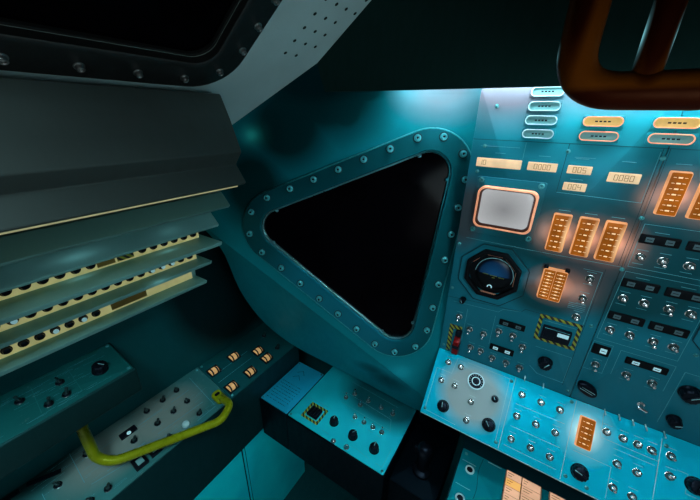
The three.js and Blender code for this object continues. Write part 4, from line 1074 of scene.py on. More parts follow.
def knobs(table):
    """Knobs at (x, y, radius, pointer angle): the bodies, and the pointers."""
    bodies, pointers = [], []
    for x, y, radius, angle in table:
        body, pointer = knob(radius)
        bodies.append(body.moved([x, y, 0], turn(z=angle)))
        pointers.append(pointer.moved([x, y, 0], turn(z=angle)))
    return joined(bodies), joined(pointers)


def upright(x, y, w, h, z0, z1, edge, radius):
    """A plate w wide and h high round its middle (x, y)."""
    return plate(x - w / 2, x + w / 2, y - h / 2, y + h / 2, z0, z1, edge, radius)


def in_windows(table, half_width, half_height, z0, z1, cut):
    """A small box in each window of the flag boxes (x, y, w, h), from its half sizes.

    A box under 40 wide has one window, right of its middle, and a wider one has two.
    half_height(h) gives the half height from the box's own.
    """
    spots = [(c, y, half_height(h)) for x, y, w, h in table
             for c in ((x + w * 0.14,) if w < 40 else (x - w * 0.25, x + w * 0.25))]
    return cut_boxes([(c - half_width, y - half, FLAG_TOP + z0) for c, y, half in spots],
                     [(c + half_width, y + half, FLAG_TOP + z1) for c, y, half in spots], cut)


def strips(lines, width, height):
    """Thin boxes along lines (x0, y0, x1, y1), each turned to its own direction."""
    made = []
    for x0, y0, x1, y1 in lines:
        length, angle = np.hypot(x1 - x0, y1 - y0), np.degrees(np.arctan2(y1 - y0, x1 - x0))
        box = cut_boxes([-width / 2, -width / 2, 0], [length + width / 2, width / 2, height], 0.05)
        made.append(box.moved([x0, y0, 0], turn(z=angle)))
    return joined(made)


def linked(runs):
    """Lines (x0, y0, x1, y1) from each corner of a run to its next one."""
    return [(*a, *b) for corners in runs for a, b in zip(corners[:-1], corners[1:])]


def dress_panel(name, place, rows, knob_table, screws, plating=CHROME, nut_finish=NUT_DARK):
    """Adds a panel's switches, knobs and screws as one piece for each finish."""
    bats, nuts = toggles(rows)
    piece(name + "_toggles", bats, place, plating)
    piece(name + "_toggle_nuts", nuts, place, nut_finish)
    if knob_table:
        bodies, pointers = knobs(knob_table)
        piece(name + "_knobs", bodies, place, BLACK_FITTING)
        piece(name + "_knob_pointers", pointers, place, WHITE_LINE)
    heads = screw_head.copies([(x, y, 0) for x, y in screws], np.eye(3) * 0.85)
    piece(name + "_screws", heads, place, STEEL)


# %% The main panel's two sheets and everything on them
SPLIT = 147.0
SHEETS = (("left", PANEL_LEFT, SPLIT - 0.5), ("right", SPLIT + 0.5, PANEL_RIGHT))
for side, x0, x1 in SHEETS:
    sheet = plate(x0, x1, PANEL_BOTTOM, PANEL_TOP, -SKIN, 0, 0.8)
    piece(f"main_sheet_{side}", sheet, MAIN, MAIN_FACE, [f"main_panel_{side}"])

MAIN_TOGGLES = [
    (-452, [-112]), (-478, [-83, -50, 34]), (-457, [-20, 10]), (-528, [-72, -48]), (-536, [-20, 11, 40]),
    (-279, [109]), (-323, [109]), (-367, [109]), (-219, [166, 196, 229, 260]), (-303, [166, 196, 230, 258]),
    (-374, [166, 196, 230, 258]), (-462, [166, 216, 255]), (-478, [360, 394]), (-534, [360, 394]),
]
MAIN_KNOBS = [(-110, -401, 7, 20), (84, -497, 14.5, -35), (306, -457, 16, -50), (306, -526, 11.5, -60)]
MAIN_SCREWS = [
    (-114, 22), (-123, -50), (18, -51), (-129, -100), (145, -53), (-140, -264), (-140, -379), (137, -378),
    (148, -151), (149, -248), (289, -378), (289, -50), (420, -50), (420, -378), (420, -250), (289, -250),
    (420, 22), (-138, -550), (420, -550), (140, -550),
]
dress_panel("main", MAIN, MAIN_TOGGLES, MAIN_KNOBS, MAIN_SCREWS)

# %% [markdown]
# The flag windows show the state of a valve or a switch. Each is a low black box with one
# or two small windows. In some boxes the windows are dark, in others they are white and
# glow, which is painted light, so the two kinds have a table each.

# %% Flag windows, the oval plate and the T handle
DARK_FLAGS = [(3, -430, 53, 14), (181, -185, 52, 16), (241, -185, 52, 16), (181, -271, 52, 16),
              (241, -271, 52, 16), (181, -342, 53, 16), (241, -342, 53, 16)]
LIT_FLAGS = [(-5, -504, 52, 15), (165, -424, 28, 22), (236, -428, 62, 14)]
FLAGS = DARK_FLAGS + LIT_FLAGS
flag_boxes = joined([upright(*row, 0, FLAG_TOP, 0.8, 1.2) for row in FLAGS])
piece("main_flag_boxes", flag_boxes, MAIN, FLAG_BLACK)
for name, table, finish in (("dark", DARK_FLAGS, FLAG_GREY), ("lit", LIT_FLAGS, WHITE_PAINTED_GLOW)):
    piece(f"main_flags_{name}", in_windows(table, 5.4, lambda h: h * 0.26, -0.5, 0.5, 0.3), MAIN, finish)
piece("main_flag_dashes", in_windows(FLAGS, 3.4, lambda h: 0.6, 0.4, 0.7, 0.1), MAIN, BLACK_FITTING)


def leaning_oval(inset):
    """An ellipse 40 by 25 whose long axis leans 30 degrees down to the right."""
    a = np.linspace(0, 2 * np.pi, 36, endpoint=False)
    flat = np.stack([(20 - inset) * np.cos(a), (12.5 - inset) * np.sin(a), 0 * a], -1)
    return (flat @ turn(z=-30).T)[:, :2] + [168, -524.5]


piece("oval_plate", soft_plate(leaning_oval, 0, 12, 3.0), MAIN, BLACK_FITTING)
oval_lines = strips([(155, -523, 178, -530), (158, -519, 181, -526)], 0.9, 0.3)
piece("oval_plate_lines", oval_lines.moved([0, 0, 12]), MAIN, WHITE_LINE)
handle_stem = turned([(0, 0), (6, 0), (6, 2), (3, 3), (3, 14), (0, 14)], 18).moved([255, -518, 0])
handle_bar = turned([(0, -8), (2.4, -8), (3.2, -6), (3.2, 6), (2.4, 8), (0, 8)], 16)
piece("tee_handle", joined([handle_stem, handle_bar.moved([255, -518, 15], turn(x=90, z=75))]), MAIN, CHROME)

# %% [markdown]
# Module seams and engraved lines give the panel its scale. Both are thin strips that stand
# a fifth of a millimetre off the sheet: a seam is a dark one, an engraved line a pale one.
# Both are straight, so each is a flat box between two points.

# %% Seams and engraved lines
MAIN_SEAMS = [
    (PANEL_LEFT, -38, PANEL_RIGHT, -38), (17, -38, 17, -124), (142, -38, 142, -241), (150, -38, 150, -241),
    (147, -391, 147, -241), (127, -255, 127, -540), (-147, -405, 14, -391), (14, -391, 20, -382),
    (20, -382, 127, -382),
]
piece("main_seams", strips(MAIN_SEAMS, 0.8, 0.2), MAIN, SEAM_DARK)
MODULE_FRAMES = [
    [(-51, -40), (-51, -70)], [(17, -124), (140, -126), (140, -44)],
    [(95, -262), (124, -262), (124, -395), (60, -395)], [(272, -160), (155, -160), (155, -240), (272, -240)],
    [(272, -250), (155, -250), (152, -400), (272, -400), (272, -160)],
    [(-131, -414), (-30, -408), (-22, -398), (14, -391)], [(-96, -424), (-96, -520)],
    [(-34, -420), (-34, -500)], [(150, -408), (181, -408), (181, -478), (148, -478), (150, -408)],
    [(194, -472), (194, -412), (274, -412), (274, -472)],
    [(288, -545), (288, -418), (330, -418)], [(58, -465), (126, -465), (126, -535), (76, -535), (58, -520)],
    [(-130, -50), (-60, -50)], [(30, -60), (60, -60)], [(-128, -246), (12, -246), (147, -244)],
]
piece("main_lines", strips(linked(MODULE_FRAMES), 0.7, 0.2), MAIN, LINE_PALE)
OVER_WINDOWS = [(-92, -62), (-16, -62), (42, -62), (106, -62), (42, -98), (38, -156), (79, -156), (118, -156),
                (172, -60), (211, -60), (181, -172), (241, -172), (181, -258), (241, -258)]
ROWS_WITH_FOOT_LABELS = MAIN_TOGGLES[5:]
label_spots = [(x, y + 13) for y, spots in MAIN_TOGGLES for x in spots]
label_spots += [(x, y - 13) for y, spots in ROWS_WITH_FOOT_LABELS for x in spots]
label_lines = [(x - 7, y, x + 7, y) for x, y in label_spots]
label_lines += [(x - 9, y, x + 9, y) for x, y in OVER_WINDOWS]
label_lines += [(90, y, 118, y) for y in (-338, -342, -346, -350)]
piece("main_labels", strips(label_lines, 0.9, 0.2), MAIN, LINE_PALE)

# %% [markdown]
# ## Displays and attitude instruments
#
# The display stands on a square plate of the panel's own paint. Its bezel is a deep
# copper-coloured rim that glows, which is painted light, with a dark slope inside, round a
# pale grey tube face that bulges a little and is darker in its middle. The attitude
# instrument has an eight-sided flange, a black rim and a flat ball: the upper half is blue
# and the lower half is black. The blue glows, brightest in its middle and dark towards the
# rim, which is painted light and painted shade. A white scale runs round the ball's upper
# side. In front of it stand four short horizon marks and a small pale hook, open below,
# which glows as painted light, and fine peach highlights are painted along five edges of the
# rim.


# %% Displays
def display(side, x, y):
    """A display round its middle (x, y): plate, deep rim, dark slope, bulging tube face and screws."""
    piece(f"display_base_{side}", upright(x, y, 125, 120, 0, 3, 0.6, 3), MAIN, MAIN_FACE)

    def rim(inset):
        """The rim's outline, drawn smaller by an inset that is a little less at top and foot."""
        width, height = 110 - 2 * inset, 86 - 1.75 * inset
        return round_rectangle(x, y + inset * 0.12, width, height, max(14 - inset * 0.4, 5), 7)

    outer = [(0, 2.5), (0, 15), (0.8, 17.3), (2.2, 18.2), (3.6, 18.2), (4.2, 17.2), (4.2, 2.5)]
    piece(f"display_frame_{side}", band(rim, outer), MAIN, BEZEL, [f"display_bezel_{side}"])
    slope = [(4.1, 3.2), (4.1, 16.4), (5.0, 16.6), (7.6, 11.4), (7.6, 3.2)]
    piece(f"display_slope_{side}", band(rim, slope), MAIN, DARK_COPPER)

    foot = [at_height(rim(7.6 + inset), z) for inset, z in ((0.2, 9.5), (0.8, 10.6), (2.5, 11.3))]
    centre = rim(7.6).mean(0)
    last = rim(10.1) - centre
    dome = [at_height(centre + last * k, 11.3 + 2.2 * (1 - k ** 2)) for k in np.linspace(1, 0, 8)[1:-1]]
    tube_face = screen_phosphor(side, x, y)
    piece(f"display_tube_{side}", stacked(foot + dome), MAIN, tube_face, [f"display_screen_{side}"])
    corners = [(x + dx, y + dy, 3) for dx in (-54, 54) for dy in (-53.5, 53.5)]
    piece(f"display_screws_{side}", socket_bolt.copies(corners, np.eye(3) * 0.6), MAIN, STEEL)


display("left", -63, -169)
display("right", 339, -169)


# %% Attitude instruments
def flat_arc(centre, radius, start, end, steps, profile):
    """A profile carried along an arc that lies flat round a centre (x, y, z), angles in degrees."""
    a = np.radians(np.linspace(start, end, steps))
    out = np.stack([np.cos(a), np.sin(a), 0 * a], -1)
    return carried(np.array(centre) + radius * out, out, profile, closed=False)


def attitude(side, x, y):
    """An attitude instrument round its middle (x, y): flange, rim, ball, scale, marks and lights."""
    flange = ring(lambda inset: polygon(x, y, 69 - inset, 8, 2, 3), 14, 0, 5, 0.8)
    piece(f"attitude_flange_{side}", flange, MAIN, MAIN_FACE, [f"attitude_bezel_{side}"])
    edge = ring(lambda inset: polygon(x, y, 69.6 - inset, 8, 2, 3), 1.6, 4.2, 5.5, 0.3)
    piece(f"attitude_line_{side}", edge, MAIN, SEAM_DARK)
    rim = ring(lambda inset: polygon(x, y + 4, 55 - inset, 8, 3, 3), 9, 4.5, 15, 2.0)
    well = turned([(0, 0.5), (48, 0.5), (48, 2.5), (0, 2.5)], 32).moved([x, y + 4, 0])
    piece(f"attitude_case_{side}", joined([rim, well]), MAIN, FLAG_BLACK)

    radius, flatness, sides = 39.0, 0.30, 48
    tilt = np.linspace(np.pi / 2, 0.02, 14)
    ball = turned([(radius * np.sin(t), 3 + radius * flatness * np.cos(t)) for t in tilt], sides)
    top = ball.triangles[sides:]
    for half, sign, material in (("sky", 1, ball_sky(side, x + 4, y + 7)), ("ground", -1, FLAG_BLACK)):
        quads = ball.quads[ball.points[ball.quads].mean(1)[:, 1] * sign > 0]
        caps = top[ball.points[top].mean(1)[:, 1] * sign > 0]
        surface = Surface(ball.points, quads, caps).moved([x + 4, y + 5, 0])
        replaced = [f"attitude_ball_{side}"] if sign > 0 else ()
        piece(f"attitude_{half}_{side}", surface, MAIN, material, replaced)

    scale = flat_arc((x + 4, y + 5, 7.0), 38.5, -20, 178, 40, [(-0.5, 0), (0.5, 0), (0.5, 1.0), (-0.5, 1.0)])
    piece(f"attitude_scale_{side}", scale, MAIN, WHITE_LINE)
    horizon = ((-18, 1.0, 12), (-3, 0, 14), (14, -1.5, 12), (2, -5, 6))
    marks = cut_boxes([(x + a, y + 4.4 + b, 14.0) for a, b, _ in horizon],
                      [(x + a + w, y + 5.6 + b, 15.2) for a, b, w in horizon], 0.2)
    piece(f"attitude_marks_{side}", marks, MAIN, OLIVE_MARK)
    hook = flat_arc((x + 1, y - 24, 13.0), 4.2, -25, 195, 20, [(-1.1, 0), (1.1, 0), (1.1, 1.2), (-1.1, 1.2)])
    piece(f"attitude_hook_{side}", hook, MAIN, WHITE_PAINTED_GLOW)
    spans = ((45, -16, 2), (0, -17, 17), (-45, -17, 17), (-90, -17, 17), (180, -17, 17))
    lights = [cut_boxes([[a, 44.6, 7.0], [a + 2, 44.9, 11.0]], [[b, 46.0, 9.0], [b - 2, 46.0, 12.0]], 0.2)
              .moved([x, y + 4, 0], turn(z=angle)) for angle, a, b in spans]
    piece(f"attitude_edge_lights_{side}", joined(lights), MAIN, PEACH_HIGHLIGHT)


attitude("left", -60, -320.5)
attitude("right", 343, -320.5)

# %% [markdown]
# ## Lit windows
#
# Caution windows are ovals in thin rims, most of them pale and unlit, two of them lit. The
# readouts are amber windows with plain digits of seven bars. A lamp bank is a raised box:
# its slanted flanks glow like peach, its face is a deep orange that gets paler along the
# right edge, and each of its rows has a bright dash in the middle and a fine one on each
# side.

# %% Caution windows
OVAL_HEIGHT = 13.0
PALE_OVALS = [(-36, 45, 48), (-36, 22, 48), (-36, -1, 48), (-36, -24, 48), (54, -24, 52), (145, -24, 52),
              (236, -24, 52), (327, -24, 52), (236, -1, 52), (327, -1, 52)]
LIT_OVALS = [(54, -1, 52), (145, -1, 52)]
OVALS = PALE_OVALS + LIT_OVALS
LEFT_COLUMN = 4


def oval(x, y, w):
    """An outline of one oval window, as a function of its inset."""
    return lambda inset: round_rectangle(x, y, w - 2 * inset, OVAL_HEIGHT - 2 * inset,
                                         OVAL_HEIGHT / 2 - inset - 0.05, 7)


def oval_rim(x, y, w):
    """A thin rim round one oval window."""
    wide, high = w + 2.4, OVAL_HEIGHT + 2.4
    return ring(lambda inset: round_rectangle(x, y, wide - 2 * inset, high - 2 * inset, 7.6 - inset, 7),
                1.5, 0, 4.6, 0.5)


pale, warm = ([soft_plate(oval(*row), 0.2, 1.6, 0.5) for row in table] for table in (PALE_OVALS, LIT_OVALS))
piece("caution_windows_pale", joined(pale), MAIN, PALE, ["caution_lights"])
piece("caution_windows_lit", joined(warm), MAIN, OVAL_LIT)
rims = [oval_rim(*row) for row in OVALS]
piece("caution_window_rims", joined(rims[:LEFT_COLUMN]), MAIN, LINE_WHITE)
# The warm rims glow, which is painted light.
piece("caution_window_rims_warm", joined(rims[LEFT_COLUMN:]), MAIN, BEZEL)
mounts = [upright(x, y, w + 6, OVAL_HEIGHT + 6, 0, 0.8, 0.2, 2) for x, y, w in OVALS]
piece("caution_window_mounts", joined(mounts), MAIN, MAIN_FACE)
dashes = np.array([(x - w * 0.20 + k * w * 0.11, y, w * 0.075) for x, y, w in OVALS for k in range(4)])
dash_low = dashes * [1, 1, 0] + [0, -1.1, 1.5]
dash_high = dashes * [1, 1, 0] + dashes[:, 2:] * [1, 0, 0] + [0, 1.1, 1.9]
piece("caution_dashes", cut_boxes(dash_low, dash_high, 0.1), MAIN, BLACK_FITTING)

# %% Readouts with seven-bar digits
BARS = {
    "a": (0, 1, 1, 0), "b": (1, 0.5, 0, 1), "c": (1, 0, 0, 1), "d": (0, 0, 1, 0),
    "e": (0, 0, 0, 1), "f": (0, 0.5, 0, 1), "g": (0, 0.5, 1, 0),
}
DIGITS = {"0": "abcdef", "1": "bc", "4": "fgbc", "5": "afgcd", "8": "abcdefg"}
DIGIT_WIDTH, DIGIT_HEIGHT, DIGIT_PITCH, HALF_BAR = 4.6, 8.8, 1.55, 0.42
READOUTS = [(-92, -81, 82, 17, "10"), (-16, -81, 48, 15, "0000"), (42, -81, 36, 14, "005"),
            (106, -88, 43, 16, "0080"), (42, -111, 35, 14, "004")]


def digit_boxes(text, x, y, z):
    """Low and high corners of the bars of a row of digits, from the lower left corner (x, y)."""
    low, high = [], []
    for k, figure in enumerate(text):
        for bar in DIGITS[figure]:
            u, v, across, up = BARS[bar]
            x0, y0 = x + k * DIGIT_WIDTH * DIGIT_PITCH + u * DIGIT_WIDTH, y + v * DIGIT_HEIGHT
            x1, y1 = x0 + across * DIGIT_WIDTH, y0 + up * DIGIT_HEIGHT / 2
            low.append((x0 - HALF_BAR, y0 - HALF_BAR, z))
            high.append((x1 + HALF_BAR, y1 + HALF_BAR, z + 0.4))
    return low, high


panes = joined([upright(*row[:4], 0, 3, 0.5, 1.0) for row in READOUTS])
piece("readout_panes", panes, MAIN, READOUT, ["readout_windows"])
low, high = [], []
for x, y, w, _, text in READOUTS:
    left = x - w / 2 + 6 if w > 60 else x - (len(text) * DIGIT_PITCH - 0.55) * DIGIT_WIDTH / 2
    a, b = digit_boxes(text, left, y - DIGIT_HEIGHT / 2, 2.9)
    low, high = low + a, high + b
piece("readout_digits", cut_boxes(low, high, 0.12), MAIN, READOUT_MARK)


# %% Lamp banks
def lamp_bank(x0, x1, y0, y1, depth, rows):
    """The flanks, the face and the dashes of one bank, from its edges and its number of rows."""
    x, y, w, h = (x0 + x1) / 2, (y0 + y1) / 2, x1 - x0, y1 - y0

    def outline(inset):
        """The bank's edges, drawn smaller by an inset."""
        return round_rectangle(x, y, w - 2 * inset, h - 2 * inset, max(2.5 - inset * 0.5, 0.6), 3)

    levels = ((0, 0), (0, 2), (1.0, depth - 0.6), (1.5, depth))
    body = stacked([at_height(outline(inset), z) for inset, z in levels])
    face = soft_plate(lambda inset: outline(2.0 + inset), depth - 1, depth + 0.3, 0.2)
    pitch = (h - 9.5) / rows
    low, high = [], []
    for at in y0 + 4.75 + (np.arange(rows) + 0.5) * pitch:
        for middle, across, up in ((x, 2.6, 1.1), (x - w * 0.24, w * 0.07, 0.35),
                                   (x + w * 0.24, w * 0.07, 0.35)):
            low.append((middle - across, at - up, depth + 0.2))
            high.append((middle + across, at + up, depth + 0.6))
    return body, face, cut_boxes(low, high, 0.1)


def lamp_banks(name, banks, place, node):
    """All the banks of one group: flanks, faces and dashes as three pieces."""
    flanks, faces, marks = zip(*[lamp_bank(*bank) for bank in banks])
    piece(name + "_flanks", joined(flanks), place, AMBER_FLANK, [node])
    piece(name + "_faces", joined(faces), place, AMBER)
    piece(name + "_dashes", joined(marks), place, AMBER_MARK)


lamp_banks("lamps_centre", [(*edges, 9, 6) for edges in BANKS_CENTRE], MAIN, "lamp_banks_centre")
lamp_banks("lamps_right", [(*edges, 9, 7) for edges in BANKS_RIGHT], MAIN, "lamp_banks_right")
x0, x1, y0, y1 = BANK_DOUBLE
middle = (x0 + x1) / 2
double = [(x0, middle + 1.6, y0, y1, 11, 8), (middle - 1.6, x1, y0, y1, 11, 8)]
lamp_banks("lamps_double", double, MAIN, "lamp_bank_double")
clips = cut_boxes([(x0 - 1, y1 - 3, 0), (x1 - 7, y1 - 3, 0)], [(x0 + 7, y1 + 5, 9), (x1 + 1, y1 + 5, 9)], 1.2)
piece("lamps_double_clips", clips, MAIN, BLACK_FITTING)
lamp_banks("lamps_lower", [(*BANK_LOWER, 9, 5)], LOWER, "lamp_bank_lower")

# %% [markdown]
# ## Guards
#
# Two controls on the main panel are marked with yellow and black stripes: a black module,
# and a switch under a red cover. The stripes are a wave along the diagonal of the Object
# coordinates, cut hard.

# %% Striped frames, module and guarded switch
STRIPES, tree, main, coordinates = shader("hazard_stripes", {"Roughness": 0.5})
wave = tree.nodes.new("ShaderNodeTexWave")
wave.bands_direction = "DIAGONAL"
wave.inputs["Scale"].default_value = 300.0 / 6.2832
tree.links.new(coordinates, wave.inputs["Vector"])
stripe_stops = [(0.49, (0.006, 0.010, 0.010)), (0.51, (0.30, 0.34, 0.03))]
tree.links.new(ramp(tree, wave.outputs["Fac"], stripe_stops), main.inputs["Base Color"])


def striped_frame(x, y, w, h, width):
    """A flat frame round the middle (x, y)."""
    return ring(lambda inset: round_rectangle(x, y, w - 2 * inset, h - 2 * inset, 2, 3), width, 0, 1.2, 0.3)


piece("hazard_frame", striped_frame(87, -414, 76, 64, 7), MAIN, STRIPES)
module = joined([plate(60, 112, -436, -404, 0, 8, 1.0, 2), plate(64, 84, -431, -411, 7.5, 8.8, 0.4, 1)])
piece("hazard_block", module, MAIN, BLACK_FITTING, ["hazard_module"])
piece("hazard_block_window", plate(88, 108, -420, -411, 7.8, 8.8, 0.3, 1), MAIN, WHITE_PAINTED_GLOW)
module_marks = strips([(64, -407, 108, -407), (71, -424, 77, -424)], 1.0, 0.3)
piece("hazard_block_marks", module_marks.moved([0, 0, 8]), MAIN, LINE_PALE)
GUARD_STRIPES = ((-130, -120, -560, -490), (-130, -100, -490, -480))
piece("guard_stripes", joined([plate(*edges, 0, 2.6, 0.3, 1) for edges in GUARD_STRIPES]), MAIN, STRIPES)
piece("guard_base", plate(-119.5, -97, -560, -490.5, 0, 2.6, 0.3, 1), MAIN, MAIN_FACE)
piece("guard_hinge", plate(-112, -98, -503, -488, 1, 14, 1.2, 3), MAIN, BLACK_FITTING)
guard_section = round_corners([(-553, 2), (-553, 22), (-516, 24), (-503, 12), (-503, 2)], 4)
piece("guard_cover", extruded(guard_section, -112, -98, along_x, 0.8), MAIN, RED, ["guarded_switch"])
piece("guard_clip", cut_boxes([-113, -533, 3], [-97, -524, 24.6], 0.6), MAIN, BLACK_FITTING)

# %% [markdown]
# ## The lower panel
#
# The lower panel slopes away from the main panel's foot towards the crew. It is the
# brightest teal, with a grid of toggles, a round dial on a worn grey patch, fluted knobs and
# a lamp bank. White seams part it into four.

# %% The lower panel
lower_sheet = plate(PANEL_LEFT, PANEL_RIGHT, -LOWER_LENGTH, -0.4, -SKIN, 0, 0.8)
piece("lower_sheet", lower_sheet, LOWER, TEAL_PANEL, ["lower_panel"])
LOWER_TOGGLES = [
    (-34, [59, 98, 135]), (-83, [59, 98, 135]), (-134, [59, 98, 135]), (-27, [-115, -83]), (-76, [-119, -85]),
    (-96, [-40]), (-140, [-39]), (-40, [219, 246, 269, 290.5]), (-90.5, [244, 275]), (-135.5, [244, 274]),
    (-37, [318.5, 390]), (-72, [321, 390]), (-137, [321, 390]),
]
LOWER_KNOBS = [(8, -67, 8, 30), (-98, -132, 14.5, 10), (9, -127, 15, 40), (189, -136, 16, 75),
               (356, -70, 15, -15)]
LOWER_SCREWS = [(-138, -155), (32, -14), (32, -155), (152, -8), (168, -155), (205, -158), (310, -22),
                (425, -14), (425, -155)]
dress_panel("lower", LOWER, LOWER_TOGGLES, LOWER_KNOBS, LOWER_SCREWS)
lower_seams = strips([(39, -3, 39, -165), (160, -3, 160, -165), (303, -12, 303, -165)], 1.0, 0.25)
piece("lower_seams", lower_seams, LOWER, LINE_WHITE)
LOWER_FRAMES = [
    [(209, -7), (211, -54.5), (302, -55)], [(235, -65), (298, -65)], [(172, -101), (236, -101), (236, -160)],
    [(-95, -8), (-100, -50), (-138, -50), (-138, -158), (-60, -160)], [(-70, -10), (28, -10), (30, -150)],
    [(52, -58), (148, -58)], [(52, -108), (148, -108)], [(330, -56), (345, -56), (345, -90), (420, -90)],
    [(48, -152), (150, -152)],
]
lower_lines = linked(LOWER_FRAMES)
lower_lines += [(x - 7, y + 14, x + 7, y + 14) for y, spots in LOWER_TOGGLES for x in spots]
piece("lower_lines", strips(lower_lines, 0.7, 0.25), LOWER, LINE_WHITE)

# %% The lower dial, the lip and the pegs
DIAL = np.array([-41, -45, 0])
dial_rim = turned([(0, 0), (20, 0), (20, 4), (18.8, 6.5), (17.2, 6.5), (16.4, 4.5), (16, 2.5), (0, 2.4)], 40)
piece("lower_dial_rim", dial_rim.moved(DIAL), LOWER, BLACK_FITTING, ["lower_dial"])
around = np.arange(40) * 2 * np.pi / 40
dial_out = np.stack([np.cos(around), np.sin(around), 0 * around], -1)


def dial_band(radius, z, width, height):
    """A flat ring on the dial: a small rectangle carried round a circle."""
    path = dial_out * radius + DIAL + [0, 0, z]
    return carried(path, dial_out, [(-width, 0), (width, 0), (width, height), (-width, height)])


dial_rings = joined([dial_band(18.2, 6.3, 1.4, 0.8), dial_band(9.0, 2.3, 1.1, 0.8)])
piece("lower_dial_rings", dial_rings, LOWER, WHITE_PAINTED_GLOW)
tick = cut_boxes([13, -0.5, 2.3], [15.4, 0.5, 3.0], 0.1)
ticks = joined([tick.moved(DIAL, turn(z=angle)) for angle in np.arange(-30, 240, 22.5)])
piece("lower_dial_ticks", ticks, LOWER, LINE_WHITE)
hub = turned([(0, 2.4), (5.5, 2.4), (5.5, 7), (4.5, 8), (0, 8.2)], 20).moved(DIAL)
needle = cut_boxes([-2, -0.8, 3.2], [12, 0.8, 4.0], 0.2).moved(DIAL, turn(z=-60))
piece("lower_dial_hub", joined([hub, needle]), LOWER, BLACK_FITTING)
lip = cut_boxes([PANEL_LEFT, -LOWER_LENGTH - 1.6, -5], [PANEL_RIGHT, -LOWER_LENGTH - 0.2, 0.6], 0.4)
piece("lower_lip", lip, LOWER, LINE_WHITE)
peg = turned([(0, 0), (1.3, 0), (1.3, 16), (0.9, 17), (0, 17.2)], 10)
PEGS = [(209, -562), (233, -562), (255, -562), (275, -562), (303, -562), (56, -554), (94, -555)]
piece("main_pegs", peg.copies([(x, y, 0) for x, y in PEGS]), MAIN, LINE_WHITE)

# %% [markdown]
# ## Consoles
#
# The centre console stands between the two crew stations; its legend cards have the colour
# of parchment and glow, which is painted light. The sill console runs under the window. The
# side console slopes a little towards the aisle, and has six lit drums, rows of toggles and
# the grab rail. Straps and gloves have rubbed its panels, so fine scratches lie along it and
# its paint has pale spots.

# %% Centre console
piece("centre_case", cut_boxes([-36, 330, -690], [264, 799, 0], 2.0), CENTRE, TEAL_DEEP, ["centre_console"])
piece("centre_top", plate(-32, 260, 334, 630, 0, 2, 0.6, 3), CENTRE, CENTRE_PAINT)
CENTRE_FACE = Place([0, 0, CENTRE_TOP + 2], turn())
INDICATORS = [(-5, 580, 0), (-9, 504, 0)]
indicator = turned([(0, 0), (10.5, 0), (10.5, 3.2), (9.6, 4.2), (7.8, 4.2), (7.0, 2.6), (0, 2.4)], 28)
indicator_face = turned([(0, 2.2), (6.8, 2.2), (6.8, 3.0), (0, 3.2)], 24)
piece("centre_indicators", indicator.copies(INDICATORS), CENTRE_FACE, LINE_WHITE)
piece("centre_indicator_faces", indicator_face.copies(INDICATORS), CENTRE_FACE, BLACK_FITTING)

seam_y = np.linspace(519, 626, 24)
seam = list(zip(16 + 2.2 * np.sin((seam_y - 519) / 15), seam_y))
piece("centre_seams", strips(linked([seam, [(-32, 455), (260, 455)]]), 1.0, 0.3), CENTRE_FACE, SEAM_DARK)
CENTRE_LINES = [(-26, 598, 6, 598), (-26, 534, 6, 534), (30, 626, 60, 626), (-26, 456, 6, 456)]
piece("centre_lines", strips(CENTRE_LINES, 0.8, 0.3), CENTRE_FACE, LINE_WHITE)
centre_screws = screw_head.copies([(x, y, 0) for x in (-22, 250) for y in (345, 440, 618)])
piece("centre_screws", centre_screws, CENTRE_FACE, STEEL)

CARD_PITCH = 19.6
CARDS = ((1, 70, 2), (2, 160, 9))


def card_cells(x):
    """Low and high corners of a legend card's cells: two columns of eight, 1 mm apart."""
    columns = ((x + 2.5, x + 33.5), (x + 36.0, x + 73.5))
    tops = 628 - np.arange(8) * CARD_PITCH
    low = [(a, top - CARD_PITCH + 1.2, 3.7) for top in tops for a, _ in columns]
    high = [(b, top, 4.4) for top in tops for _, b in columns]
    return np.array(low), np.array(high)


for number, x, yellow in CARDS:
    body = plate(x, x + 76, 470, 630, 0.2, 4, 0.6, 3)
    piece(f"card_body_{number}", body, CENTRE_FACE, COPPER, [f"legend_card_{number}"])
    low, high = card_cells(x)
    plain = np.arange(len(low)) != yellow
    piece(f"card_cells_{number}", cut_boxes(low[plain], high[plain], 0.3), CENTRE_FACE, CARD)
    piece(f"card_yellow_{number}", cut_boxes(low[yellow], high[yellow], 0.3), CENTRE_FACE, CARD_YELLOW)
    reach = rng.uniform(9, 24, len(low))
    dash_low, dash_high = [], []
    for up, share in ((6, 0.7), (12, 1.0)):
        start = low[:, :2] + [2.5, up]
        dash_low.append(at_height(start, 4.3))
        dash_high.append(at_height(start + np.column_stack([reach * share, np.full(len(low), 1.3)]), 4.8))
    marks = cut_boxes(np.vstack(dash_low), np.vstack(dash_high), 0.1)
    piece(f"card_marks_{number}", marks, CENTRE_FACE, READOUT_MARK)

# %% Sill console
SILL_FACE = Place([0, 0, SILL_TOP + 2], turn())
SILL_TOGGLES = [(587, [-335, -304, -274, -245]), (633, [-397, -344]), (660, [-381, -330, -284, -244])]
SILL_KNOBS = [(-378, 538, 14, 20), (-308, 531, 14, -30), (-239, 530, 14, 5)]
SILL_SCREWS = [(-505, 491), (-195, 491), (-195, 730), (-505, 730), (-622, 491), (-522, 668), (-622, 668)]
sill_body = joined([cut_boxes([-515.4, 480, -160], [-185, 740, 0], 2.0),
                    cut_boxes([-631, 480, -160], [-515.6, 677, 0], 2.0),
                    cut_boxes([-500, 739.2, -160], [-200, 799, -128], 1.5)])
piece("sill_case", sill_body, SILL, SILL_SHADE_BLACK, ["sill_console"])
piece("sill_top", plate(-512, -188, 484, 737, 0, 2, 0.6, 3), SILL, SILL_FACE_PAINT)
piece("sill_end_top", plate(-628, -516, 484, 674, 0, 2, 0.6, 3), SILL, PLATE_BLUE)
